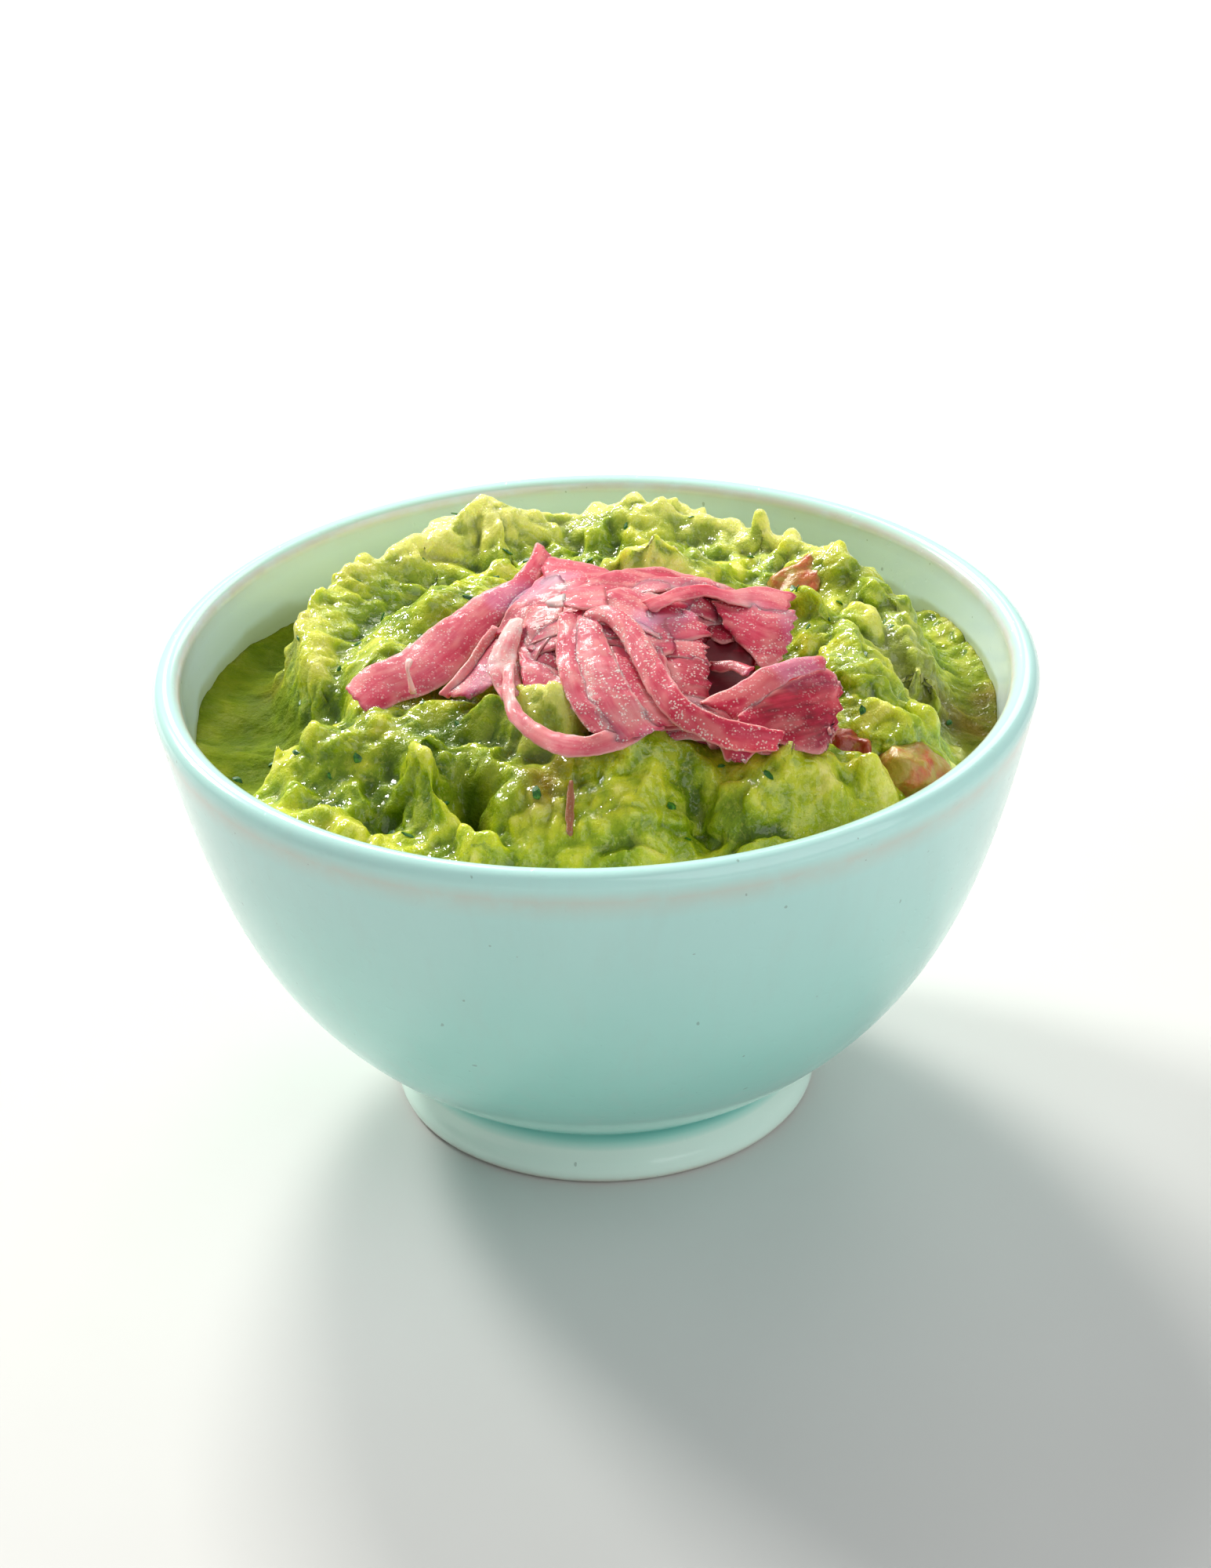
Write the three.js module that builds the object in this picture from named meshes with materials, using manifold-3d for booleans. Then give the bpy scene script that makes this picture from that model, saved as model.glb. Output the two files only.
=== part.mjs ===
// A footed, glazed ceramic bowl heaped with guacamole, tomato dice showing in the mash,
// and a tangle of pickled red onion strips on top.
// Millimetres, +Z up. The origin is the centre of the foot ring's underside; -Y is the front.
import * as THREE from "three";
import { mergeVertices } from "three/addons/utils/BufferGeometryUtils.js";
import Module from "manifold-3d";

const wasm = await Module();
wasm.setup();

// ---- driving dimensions ----
const rimRadius = 65;
const bowlHeight = 72.5;
const lipRadius = 2.1; // the lip is a full round
const footRadius = 32.4;
const footEdge = 1.2; // bevel of the foot's lower edge
const neckRadius = 30.6; // the groove between foot and body
const neckHeight = 7.2;
const neckFlare = 0.4; // how far the foot has widened at two thirds of the neck's height
const footRingWidth = 4;
const recessDepth = 4.6; // hollow inside the foot ring
const recessSlope = 2.5; // how far the ring's inner side leans in
const cavityFloor = 13.5; // height of the bowl's floor, inside
const bowlSides = 60;

const wallGap = 0.35; // clearance between pieces that touch
const restGap = 0.45; // clearance under the onion, measured upwards from the sloping mash
const moatLevel = 62.5; // height at which the guacamole meets the wall
const frontLevel = 67.5; // the same at the front, where the bowl is filled further
const plateauLevel = 75.5; // general top of the mound
const moundRadius = 43;
const knobCount = 230;
const fleckCount = 60;
const heapGrid = 38; // squares across the heap's top surface

const diceBevel = 0.9;
const stripThickness = 1.35;
const stripCup = 0.22; // how far a strip's edges drop, as a share of its half-width
const stripStep = 4.2; // spacing of the sections along a strip

// ---- shared helpers ----
function seededRandom(seed) {
  let state = seed;
  return () => {
    state = (state * 1664525 + 1013904223) % 4294967296;
    return state / 4294967296;
  };
}

const smoothstep = THREE.MathUtils.smoothstep;
const lerp = THREE.MathUtils.lerp;

function solidOf(geometry) {
  const bare = new THREE.BufferGeometry();
  bare.setAttribute("position", geometry.getAttribute("position"));
  bare.setIndex(geometry.getIndex());
  const merged = mergeVertices(bare, 1e-4);
  return new wasm.Manifold(
    new wasm.Mesh({
      numProp: 3,
      vertProperties: new Float32Array(merged.attributes.position.array),
      triVerts: new Uint32Array(merged.index.array),
    }),
  );
}

function geometryOf(solid) {
  const mesh = solid.getMesh();
  const geometry = new THREE.BufferGeometry();
  geometry.setAttribute("position", new THREE.BufferAttribute(mesh.vertProperties, 3));
  geometry.setIndex(new THREE.BufferAttribute(mesh.triVerts, 1));
  return geometry;
}

// The largest body of a solid, with loose scraps dropped and sealed hollows filled.
function largestBody(solid) {
  const bodies = solid.decompose();
  return bodies.reduce((best, body) => (body.volume() > best.volume() ? body : best));
}

function indexedGeometry(points, triangles) {
  const geometry = new THREE.BufferGeometry();
  geometry.setAttribute("position", new THREE.Float32BufferAttribute(points.flat(), 3));
  geometry.setIndex(triangles);
  return geometry;
}

// ---- the bowl ----
const lipHeight = bowlHeight - lipRadius;
const bodyStart = new THREE.Vector2(33.6, 10);

const outerWall = new THREE.CubicBezierCurve(
  bodyStart,
  new THREE.Vector2(53.1, 24.5),
  new THREE.Vector2(58.7, 39.8),
  new THREE.Vector2(rimRadius, lipHeight),
);

const innerWall = new THREE.CubicBezierCurve(
  new THREE.Vector2(rimRadius - 2 * lipRadius, lipHeight),
  new THREE.Vector2(54.2, 37),
  new THREE.Vector2(44.5, cavityFloor),
  new THREE.Vector2(0, cavityFloor),
);

const innerWallPoints = innerWall.getPoints(9);

function bowlProfile() {
  const foot = new THREE.Path();
  foot.moveTo(0, recessDepth);
  foot.lineTo(footRadius - footRingWidth - recessSlope, recessDepth);
  foot.lineTo(footRadius - footRingWidth, 0);
  foot.lineTo(footRadius - footEdge, 0);
  foot.lineTo(footRadius, footEdge);
  foot.lineTo(neckRadius + neckFlare, (2 / 3) * neckHeight);
  foot.lineTo(neckRadius, neckHeight);
  foot.quadraticCurveTo(neckRadius, bodyStart.y - neckFlare, bodyStart.x, bodyStart.y);
  const lip = new THREE.Path();
  lip.absarc(rimRadius - lipRadius, lipHeight, lipRadius, 0, Math.PI, false);
  return [
    ...foot.getPoints(3),
    ...outerWall.getPoints(9).slice(1),
    ...lip.getPoints(6).slice(1),
    ...innerWallPoints.slice(1),
  ];
}

function bowlGeometry() {
  const profile = bowlProfile();
  profile.at(-1).x = 0;
  return new THREE.LatheGeometry(profile, bowlSides).rotateX(Math.PI / 2); // its axis becomes +Z
}

// ---- the heap of guacamole ----
// A lump is a rounded knob of mash: x, y, top height, half-length, half-width, heading in degrees.
const lumps = [
  // the steep crest along the left and back of the mound
  { x: -41, y: 6, top: 74.5, long: 10, wide: 5, turn: 95 },
  { x: -38, y: 20, top: 76.5, long: 8, wide: 6, turn: 60 },
  { x: -28, y: 31, top: 76.5, long: 8, wide: 6, turn: 35 },
  { x: -16.5, y: 38.5, top: 80, long: 7, wide: 7, turn: 0 },
  { x: -4, y: 37.5, top: 77.2, long: 8, wide: 6, turn: 0 },
  { x: 10, y: 40, top: 80, long: 8, wide: 5, turn: 5 },
  { x: 22, y: 33.5, top: 77.5, long: 7, wide: 5, turn: -25 },
  // a nearer crest behind the onion, and the slope to its left
  { x: 8, y: 14, top: 83.5, long: 12, wide: 6, turn: 10 },
  { x: -20, y: 10, top: 79, long: 14, wide: 10, turn: 40 },
  { x: -31, y: -4, top: 77.5, long: 8, wide: 6, turn: 70 },
  // the right side, in slabs
  { x: 36, y: 22, top: 78.5, long: 8, wide: 5, turn: -30 },
  { x: 43, y: 11, top: 76, long: 8, wide: 5, turn: -65 },
  { x: 30, y: 2, top: 81.5, long: 7, wide: 5, turn: -40 },
  { x: 37, y: -11, top: 79, long: 9, wide: 6, turn: -70 },
  { x: 49, y: -3, top: 71, long: 8, wide: 4, turn: -80 },
  { x: 45, y: -21, top: 73.5, long: 7, wide: 5, turn: -50 },
  // the bed under the onion
  { x: -10, y: -13, top: 80, long: 10, wide: 7, turn: 10 },
  { x: 12, y: -14, top: 80.5, long: 12, wide: 8, turn: -10 },
  { x: 2, y: -26, top: 79.5, long: 12, wide: 6, turn: 0 },
  { x: -24, y: -14, top: 78, long: 9, wide: 5, turn: 30 },
  { x: -14, y: -27, top: 79, long: 8, wide: 4.5, turn: -10 },
  // boulders along the front
  { x: 7, y: -37, top: 80, long: 13, wide: 8, turn: 8 },
  { x: 25, y: -42, top: 78, long: 11, wide: 7, turn: 14 },
  { x: 37, y: -40, top: 74.5, long: 6, wide: 5, turn: 30 },
  { x: -35, y: -24, top: 74.5, long: 10, wide: 6, turn: -20 },
  { x: -46, y: -20, top: 68.5, long: 5, wide: 3, turn: -50 },
  { x: -24.5, y: -36, top: 77, long: 9, wide: 3, turn: -72 },
  { x: -12.5, y: -39.5, top: 75, long: 4.5, wide: 4, turn: 20 },
  // low lumps against the wall at the front
  { x: -33, y: -43, top: 69.5, long: 6, wide: 3, turn: -40 },
  { x: -14, y: -50, top: 70, long: 8, wide: 3.5, turn: -15 },
  { x: 4, y: -53, top: 70, long: 9, wide: 3.5, turn: 5 },
  { x: 22, y: -52, top: 71, long: 8, wide: 3.5, turn: 20 },
  { x: -42, y: -33, top: 70, long: 5, wide: 4, turn: -40 },
];

const lumpFall = 5; // drop of a lump's side at its stated half-width
const lumpRound = 0.7; // share of the half-width over which its top is rounded
const lumpBlend = 1.2; // how softly one lump runs into the next

function smoothMax(a, b, blend) {
  const h = Math.max(blend - Math.abs(a - b), 0) / blend;
  return Math.max(a, b) + (h * h * blend) / 4;
}

function lumpHeight(lump, x, y) {
  const angle = THREE.MathUtils.degToRad(lump.turn);
  const dx = x - lump.x;
  const dy = y - lump.y;
  const along = (dx * Math.cos(angle) + dy * Math.sin(angle)) / lump.long;
  const across = (dy * Math.cos(angle) - dx * Math.sin(angle)) / lump.wide;
  const drop = Math.hypot(along, across, lumpRound) - lumpRound;
  return lump.top - (lumpFall * drop) / (Math.hypot(1, lumpRound) - lumpRound);
}

// Mash knobs, scattered by a seeded draw, that roughen the whole surface.
const knobs = (() => {
  const random = seededRandom(41);
  const made = [];
  for (let i = 0; i < knobCount; i++) {
    const r = 57 * Math.sqrt(random());
    const a = 2 * Math.PI * random();
    made.push({
      x: r * Math.cos(a),
      y: r * Math.sin(a),
      radius: lerp(3, 6, random()),
      height: lerp(-1.4, 2, random()),
    });
  }
  return made;
})();

// Crevices between the front boulders and beside the left crest.
const hollows = [
  { x: -17.5, y: -43, radius: 6, height: -4 },
  { x: 16, y: -46, radius: 5, height: -3 },
  { x: -29, y: -33, radius: 5, height: -3.5 },
  { x: -37, y: -13, radius: 6, height: -3 },
  { x: 1, y: 26, radius: 8, height: -2 },
  { x: 22, y: 12, radius: 6, height: -2.5 },
];

// The mound keeps away from the wall at the left, back and right, and fills the bowl's front.
function moundEdge(angle) {
  return moundRadius + 4 - 7 * Math.sin(angle) + 3 * Math.cos(angle);
}

// The height at which it meets the wall.
function edgeLevel(angle) {
  const front = smoothstep(-Math.sin(angle), 0.3, 0.75);
  const ripple = 1.2 * Math.sin(2 * angle + 0.6) + 0.7 * Math.sin(5 * angle);
  return lerp(moatLevel, frontLevel, front) + ripple;
}

function heapHeight(x, y) {
  const r = Math.hypot(x, y);
  const angle = Math.atan2(y, x);
  const edge = moundEdge(angle);
  const shoulder = 1 - smoothstep(r, edge - 12, edge + 3);
  let z = lerp(edgeLevel(angle), plateauLevel, shoulder);
  for (const lump of lumps) {
    z = smoothMax(z, lumpHeight(lump, x, y), lumpBlend);
  }
  for (const spot of [...knobs, ...hollows]) {
    const d = Math.hypot(x - spot.x, y - spot.y) / spot.radius;
    if (d < 1) z += spot.height * (1 - d * d) ** 2;
  }
  return z;
}

// The wall's inner outline, moved in by the clearance, and a point on it at a given height.
const fillOutline = innerWallPoints.map((p) => new THREE.Vector2(p.x - wallGap, p.y + wallGap));

function fillPoint(height) {
  for (let i = 1; i < fillOutline.length; i++) {
    const upper = fillOutline[i - 1];
    const lower = fillOutline[i];
    if (height >= lower.y) {
      const t = (upper.y - height) / (upper.y - lower.y);
      return new THREE.Vector2(lerp(upper.x, lower.x, t), height);
    }
  }
  return fillOutline.at(-1).clone();
}

// Maps a square grid onto a disc, ring by ring, so that the triangles stay even.
function squareToDisc(u, v) {
  if (u === 0 && v === 0) return { ring: 0, angle: 0 };
  if (Math.abs(u) > Math.abs(v)) return { ring: u, angle: (Math.PI / 4) * (v / u) };
  return { ring: v, angle: Math.PI / 2 - (Math.PI / 4) * (u / v) };
}

function guacamoleGeometry(lift = 0) {
  const points = [];
  const triangles = [];
  const n = heapGrid;
  for (let j = 0; j <= n; j++) {
    for (let i = 0; i <= n; i++) {
      const { ring, angle } = squareToDisc((2 * i) / n - 1, (2 * j) / n - 1);
      const a = ring < 0 ? angle + Math.PI : angle;
      const share = Math.abs(ring);
      const level = edgeLevel(a);
      const r = share * fillPoint(level).x;
      const x = r * Math.cos(a);
      const y = r * Math.sin(a);
      const z = lerp(heapHeight(x, y), level, smoothstep(share, 0.93, 1));
      points.push([x, y, z + lift]);
    }
  }
  const at = (i, j) => j * (n + 1) + i;
  for (let j = 0; j < n; j++) {
    for (let i = 0; i < n; i++) {
      const [a, b, c, d] = [at(i, j), at(i + 1, j), at(i + 1, j + 1), at(i, j + 1)];
      // the diagonal follows the rings, so that the disc's edge stays round
      if ((i < n / 2) === (j < n / 2)) triangles.push(a, b, d, b, c, d);
      else triangles.push(a, b, c, a, c, d);
    }
  }
  // the top's rim, counter-clockwise, then rings down the inside of the bowl to its floor
  const rim = [];
  for (let i = 0; i < n; i++) rim.push(at(i, 0));
  for (let j = 0; j < n; j++) rim.push(at(n, j));
  for (let i = n; i > 0; i--) rim.push(at(i, n));
  for (let j = n; j > 0; j--) rim.push(at(0, j));
  let previous = rim;
  for (const share of [0.3, 0.62, 0.86]) {
    const ring = rim.map((index, k) => {
      const [x, y] = points[index];
      const a = Math.atan2(y, x);
      const height = lerp(points[index][2] - lift, cavityFloor + wallGap, share);
      const p = fillPoint(height);
      points.push([p.x * Math.cos(a), p.x * Math.sin(a), height]);
      return points.length - 1;
    });
    for (let k = 0; k < ring.length; k++) {
      const m = (k + 1) % ring.length;
      triangles.push(previous[k], ring[k], ring[m], previous[k], ring[m], previous[m]);
    }
    previous = ring;
  }
  points.push([0, 0, cavityFloor + wallGap]);
  const centre = points.length - 1;
  for (let k = 0; k < previous.length; k++) {
    triangles.push(previous[k], centre, previous[(k + 1) % previous.length]);
  }
  return indexedGeometry(points, triangles);
}

// ---- tomato dice ----
const dice = [
  { name: "tomato_dice_back", x: 31.5, y: 18, z: 74, size: [9, 7, 6.5], turn: [18, -14, 25] },
  { name: "tomato_dice_right", x: 35, y: -28.5, z: 71, size: [7, 6, 6], turn: [-30, 10, -15] },
  { name: "tomato_dice_front", x: 43.8, y: -31, z: 68, size: [10, 8, 7], turn: [20, 16, 40] },
  { name: "tomato_dice_left", x: -7, y: -43.2, z: 70.6, size: [8, 7, 7], turn: [12, -20, 10] },
];

// A diced cube with its edges cut back and one side a little shorter; grow enlarges it all round.
function diceGeometry({ size, turn, x, y, z }, grow = 0) {
  const [width, depth, height] = size;
  const bevel = diceBevel;
  const outline = new THREE.Shape([
    new THREE.Vector2(-width / 2 + bevel, -depth / 2 + bevel),
    new THREE.Vector2(width / 2 - bevel, -depth / 2 + 1.4 * bevel),
    new THREE.Vector2(width / 2 - 1.5 * bevel, depth / 2 - bevel),
    new THREE.Vector2(-width / 2 + 1.2 * bevel, depth / 2 - 1.3 * bevel),
  ]);
  const geometry = new THREE.ExtrudeGeometry(outline, {
    depth: height - 2 * bevel,
    bevelSize: bevel + grow,
    bevelThickness: bevel + grow,
    bevelSegments: 2,
  });
  geometry.translate(0, 0, -height / 2 + bevel);
  const [rx, ry, rz] = turn.map(THREE.MathUtils.degToRad);
  geometry.rotateX(rx).rotateY(ry).rotateZ(rz);
  return geometry.translate(x, y, z);
}

// ---- what is stuck in the mash ----
// Chopped herb, spread evenly over the heap and left out under the onion and at the dice.
function fleckGeometries() {
  const random = seededRandom(7);
  const goldenAngle = Math.PI * (3 - Math.sqrt(5));
  const flecks = [];
  for (let i = 0; i < fleckCount; i++) {
    const r = 51 * Math.sqrt((i + 0.5) / fleckCount);
    const x = r * Math.cos(i * goldenAngle);
    const y = r * Math.sin(i * goldenAngle);
    const fleck = new THREE.BoxGeometry(lerp(1.8, 2.8, random()), 1.4, 0.9);
    fleck.rotateX(0.5 * random()).rotateZ(2 * Math.PI * random());
    fleck.translate(x, y, heapHeight(x, y) + 0.1);
    const underOnion = Math.hypot(x / 41, (y + 19) / 32) < 1;
    const onDice = dice.some((d) => Math.hypot(x - d.x, y - d.y) < 9);
    if (!underOnion && !onDice) flecks.push(fleck);
  }
  return flecks;
}

// A sliver of onion that stands on edge in the crevice at the front.
function sliverGeometry() {
  const sliver = new THREE.BoxGeometry(1.3, 7.5, 5);
  sliver.rotateX(THREE.MathUtils.degToRad(50));
  return sliver.translate(-1.6, -46.5, 72);
}

function guacamoleSolid() {
  let heap = solidOf(guacamoleGeometry());
  for (const piece of [...fleckGeometries(), sliverGeometry()]) heap = heap.add(solidOf(piece));
  for (const die of dice) heap = heap.subtract(solidOf(diceGeometry(die, wallGap)));
  return largestBody(heap);
}

// ---- pickled red onion ----
// Each strip is an arc cut from an onion layer: points along its middle, its width at the start,
// middle and end, and how far its broad face leans in x and y at the start and end.
const strips = [
  {
    // the long one at the left, climbing from the mash to the top of the pile
    path: [
      [-33.5, -21.5, 76.8], [-25.8, -18.4, 78.7], [-19.2, -12.2, 80.9],
      [-9.1, -0.6, 84.2], [-7.2, 4.4, 85.2],
    ],
    width: [5.2, 6.6, 2.8],
    face: [[0.1, -0.5], [0.4, -0.4]],
  },
  {
    path: [[-22.1, -19.9, 78], [-17.8, -13.3, 79.5], [-14.3, -7.4, 81.3]],
    width: [1.8, 2.4, 1.6],
    face: [[0.1, -0.4], [0.3, -0.4]],
  },
  {
    // the ring that stands open at the front, and the strip above it
    path: [
      [-11.3, -14.1, 85.3], [-12.4, -17.8, 84.6], [-13.3, -22.1, 83],
      [-12.6, -25.8, 81.3],
    ],
    width: [2.6, 3.6, 3.2],
    face: [[-0.5, -0.3], [-0.4, -0.5]],
  },
  {
    path: [
      [-11.6, -23.3, 83.3], [-11.8, -26.6, 82.2], [-10.5, -31.8, 80.8],
      [-3.8, -40.9, 80], [6, -41.2, 80.8], [9.5, -37.6, 81.2],
    ],
    width: [2.4, 3.8, 4],
    face: [[-0.5, -0.3], [0, -0.6]],
  },
  {
    path: [[-10.9, -24.5, 82.3], [-7, -29.2, 81.2], [-3.4, -32.4, 80.8], [-1, -37.1, 80.3]],
    width: [2.6, 3.2, 2.6],
    face: [[0.2, -0.3], [0.2, -0.3]],
  },
  {
    // slabs down the middle
    path: [
      [-2.3, -10.9, 85.8], [-3.4, -19.1, 85], [-3.4, -25.8, 83.7], [-2, -32, 82],
      [0.9, -37.9, 80.8],
    ],
    width: [4, 6.4, 6],
    face: [[-0.3, -0.2], [-0.1, -0.4]],
  },
  {
    path: [[1.3, -18.5, 86], [2.8, -25.3, 84.5], [4.3, -31, 82.5], [7.9, -36.5, 81]],
    width: [4.5, 7, 5],
    face: [[0.2, -0.2], [0.1, -0.4]],
  },
  {
    // the curl that lies over all the others
    path: [
      [-1.2, -15, 86.2], [1.6, -17.6, 88], [4.6, -21, 88.6], [7.6, -31, 86],
      [12.1, -38.6, 82.8], [19.1, -42.4, 81.2], [31, -39.6, 79.6],
    ],
    width: [3.6, 4.3, 3.8],
    face: [[-0.2, -0.3], [0.1, -0.6]],
  },
  {
    // across the back
    path: [
      [-1.3, -3.8, 84.8], [4.3, -1.3, 85.4], [9.6, -1.4, 85.8], [15, -2.7, 85.5],
      [23, -4.8, 83.5],
    ],
    width: [4, 6, 3.6],
    face: [[0, -0.5], [0.1, -0.3]],
  },
  {
    path: [
      [4.8, -13.7, 86.6], [10.4, -10.3, 87], [15.3, -9.1, 87], [20, -10.8, 86.3],
      [28.5, -7.8, 83.8],
    ],
    width: [2.6, 3.6, 4],
    face: [[0, -0.4], [0.2, -0.3]],
  },
  {
    path: [[-8.7, 0.1, 84], [-5, 5, 84.4], [-1.2, 5, 84.3], [2.2, 1.6, 84.2]],
    width: [3.5, 5, 3.5],
    face: [[0, 0.1], [0, 0.1]],
  },
  {
    path: [[-13, 0.5, 81], [-4, 6.5, 81.6], [8, 6, 82], [21, 1, 81.5]],
    width: [3.4, 4.6, 3.4],
    face: [[0, 0.7], [0.2, 0.7]],
  },
  {
    // the right side
    path: [[21.4, -10.9, 85.3], [23.3, -17.5, 84.2], [24.2, -23.2, 82.5]],
    width: [5, 7, 5],
    face: [[0.3, -0.2], [0.4, -0.3]],
  },
  {
    path: [[9.8, -12.7, 85.3], [13.5, -17.6, 84.2], [15.5, -22.9, 82.6]],
    width: [4, 6, 4.4],
    face: [[0.2, -0.3], [0.1, -0.4]],
  },
  {
    path: [[8.9, -21.6, 83.4], [11.9, -26.3, 82], [14.8, -29.4, 80.6]],
    width: [4, 6, 4],
    face: [[0.2, -0.3], [0.2, -0.3]],
  },
  {
    path: [
      [14.4, -35.7, 82.2], [18, -34.7, 82.8], [22.5, -31.6, 83.2], [26.5, -27.5, 82.9],
      [31.8, -22.1, 81.2],
    ],
    width: [3, 3.7, 3.2],
    face: [[0.1, -0.4], [0.2, -0.4]],
  },
  {
    path: [[22.3, -36.3, 80.6], [27.5, -35.2, 80.8], [32.3, -33.9, 79]],
    width: [7, 9, 7.5],
    face: [[0.1, -0.8], [0.3, -0.7]],
  },
  {
    path: [[12.5, -24.5, 81.2], [17, -22.5, 80.7], [20.1, -21.1, 80.9], [25.5, -22, 81.6]],
    width: [2, 2.4, 2],
    face: [[0, -0.2], [0, -0.2]],
  },
  {
    path: [[15.4, -38.4, 80.6], [17.9, -42.3, 79.6], [18.8, -44.6, 78.4]],
    width: [3, 3.2, 1.6],
    face: [[0, -0.8], [0, -0.8]],
  },
];

// A value that passes through its start, middle and end values as t goes from 0 to 1.
function throughThree([start, middle, end], t) {
  return start * (1 - t) * (1 - 2 * t) + 4 * middle * t * (1 - t) + end * t * (2 * t - 1);
}

// A closed ribbon, cupped across its width and thinner at its edges.
function stripGeometry({ path, width, face }) {
  const curve = new THREE.CatmullRomCurve3(path.map((p) => new THREE.Vector3(...p)), false, "centripetal");
  const steps = THREE.MathUtils.clamp(Math.round(curve.getLength() / stripStep), 3, 12);
  const points = [];
  const triangles = [];
  for (let k = 0; k <= steps; k++) {
    const t = k / steps;
    const middle = curve.getPointAt(t);
    const along = curve.getTangentAt(t);
    const [from, to] = face;
    const lean = new THREE.Vector3(lerp(from[0], to[0], t), lerp(from[1], to[1], t), 1);
    const across = along.clone().cross(lean).normalize();
    const outward = across.clone().cross(along);
    const half = throughThree(width, t) / 2;
    for (const [side, sign] of [[-1, 1], [0, 1], [1, 1], [1, -1], [0, -1], [-1, -1]]) {
      const edge = side * side;
      const height = sign * (stripThickness / 2) * (1 - 0.35 * edge) - stripCup * half * edge;
      const point = middle.clone().addScaledVector(across, side * half).addScaledVector(outward, height);
      points.push(point.toArray());
    }
  }
  const at = (k, i) => 6 * k + (i % 6);
  for (let k = 0; k < steps; k++) {
    for (let i = 0; i < 6; i++) {
      triangles.push(at(k, i), at(k, i + 1), at(k + 1, i + 1));
      triangles.push(at(k, i), at(k + 1, i + 1), at(k + 1, i));
    }
  }
  for (let i = 1; i < 5; i++) {
    triangles.push(at(0, 0), at(0, i + 1), at(0, i));
    triangles.push(at(steps, 0), at(steps, i), at(steps, i + 1));
  }
  return indexedGeometry(points, triangles);
}

// Low mounds of tangled onion carry the strips that show: centre, half-sizes and heading in degrees.
const onionCore = [
  { centre: [2, -19, 78.5], half: [14, 11, 7], turn: -10 },
  { centre: [12, -8, 78], half: [15, 8, 8.4], turn: -5 },
  { centre: [-7, -4, 78], half: [8, 8, 6], turn: 40 },
  { centre: [26, -35.5, 76.5], half: [10, 6, 4.2], turn: 8 },
  { centre: [10, -36, 76.5], half: [11, 5, 5.6], turn: 0 },
];

function coreGeometry({ centre, half, turn }) {
  const mound = new THREE.SphereGeometry(1, 10, 6).scale(...half);
  return mound.rotateZ(THREE.MathUtils.degToRad(turn)).translate(...centre);
}

// The pile lies on the guacamole, a little clear of it.
function onionSolid() {
  const pieces = [...onionCore.map(coreGeometry), ...strips.map(stripGeometry)];
  const pile = pieces.map(solidOf).reduce((all, piece) => all.add(piece));
  return largestBody(pile.subtract(solidOf(guacamoleGeometry(restGap))));
}

// ---- the pieces ----
const filledBowl = new THREE.Group();

function addPiece(name, geometry, look) {
  const mesh = new THREE.Mesh(geometry, new THREE.MeshStandardMaterial(look));
  mesh.name = name;
  filledBowl.add(mesh);
}

addPiece("bowl", bowlGeometry(), { color: 0xa6cfc5, roughness: 0.15, metalness: 0 });
addPiece("guacamole", geometryOf(guacamoleSolid()), { color: 0xa3b83a, roughness: 0.35, metalness: 0 });
for (const die of dice) {
  addPiece(die.name, diceGeometry(die), { color: 0xc9583f, roughness: 0.25, metalness: 0 });
}
addPiece("pickled_onion", geometryOf(onionSolid()), { color: 0xd9728f, roughness: 0.3, metalness: 0 });

export default filledBowl;
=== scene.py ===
# A celadon bowl heaped with guacamole under a tangle of pickled red onion.
# Blender works in metres, +Z up, front towards -Y. The tables are in millimetres and degrees.
import math
import random

import bmesh
import bpy
import numpy as np
from mathutils import Euler, Matrix, Vector, noise
from mathutils.bvhtree import BVHTree


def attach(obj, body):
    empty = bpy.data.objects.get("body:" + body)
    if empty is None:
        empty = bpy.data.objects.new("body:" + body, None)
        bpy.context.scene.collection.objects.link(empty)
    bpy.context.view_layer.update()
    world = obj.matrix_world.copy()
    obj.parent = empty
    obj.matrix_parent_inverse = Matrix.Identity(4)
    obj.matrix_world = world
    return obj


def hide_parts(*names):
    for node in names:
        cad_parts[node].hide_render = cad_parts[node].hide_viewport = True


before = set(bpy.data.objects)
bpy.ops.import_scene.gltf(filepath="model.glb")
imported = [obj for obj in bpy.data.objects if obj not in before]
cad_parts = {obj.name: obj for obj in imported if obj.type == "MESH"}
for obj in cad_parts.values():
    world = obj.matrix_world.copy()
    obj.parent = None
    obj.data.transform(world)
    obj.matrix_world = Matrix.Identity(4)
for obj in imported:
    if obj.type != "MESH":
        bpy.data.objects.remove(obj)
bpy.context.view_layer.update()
mm = 0.001
print("frame loaded:", ", ".join(sorted(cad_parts)))


def addNode(tree, kind, inputs=None, **settings):
    node = tree.nodes.new(kind)
    for name, value in settings.items():
        setattr(node, name, value)
    for name, value in (inputs or {}).items():
        if isinstance(value, bpy.types.NodeSocket):
            tree.links.new(value, node.inputs[name])
        else:
            node.inputs[name].default_value = value
    return node


def calc(tree, operation, *values, clamp=False):
    inputs = dict(enumerate(values))
    return addNode(tree, "ShaderNodeMath", inputs, operation=operation, use_clamp=clamp).outputs[0]


def times(tree, first, second, clamp=False):
    return calc(tree, "MULTIPLY", first, second, clamp=clamp)


def plus(tree, first, second, clamp=False):
    return calc(tree, "ADD", first, second, clamp=clamp)


def minus(tree, first, second):
    return calc(tree, "SUBTRACT", first, second)


def calcVector(tree, operation, *values, output=0):
    inputs = dict(enumerate(values))
    return addNode(tree, "ShaderNodeVectorMath", inputs, operation=operation).outputs[output]


def scaled(tree, vector, factor):
    node = addNode(tree, "ShaderNodeVectorMath", {0: vector, "Scale": factor}, operation="SCALE")
    return node.outputs[0]


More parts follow.
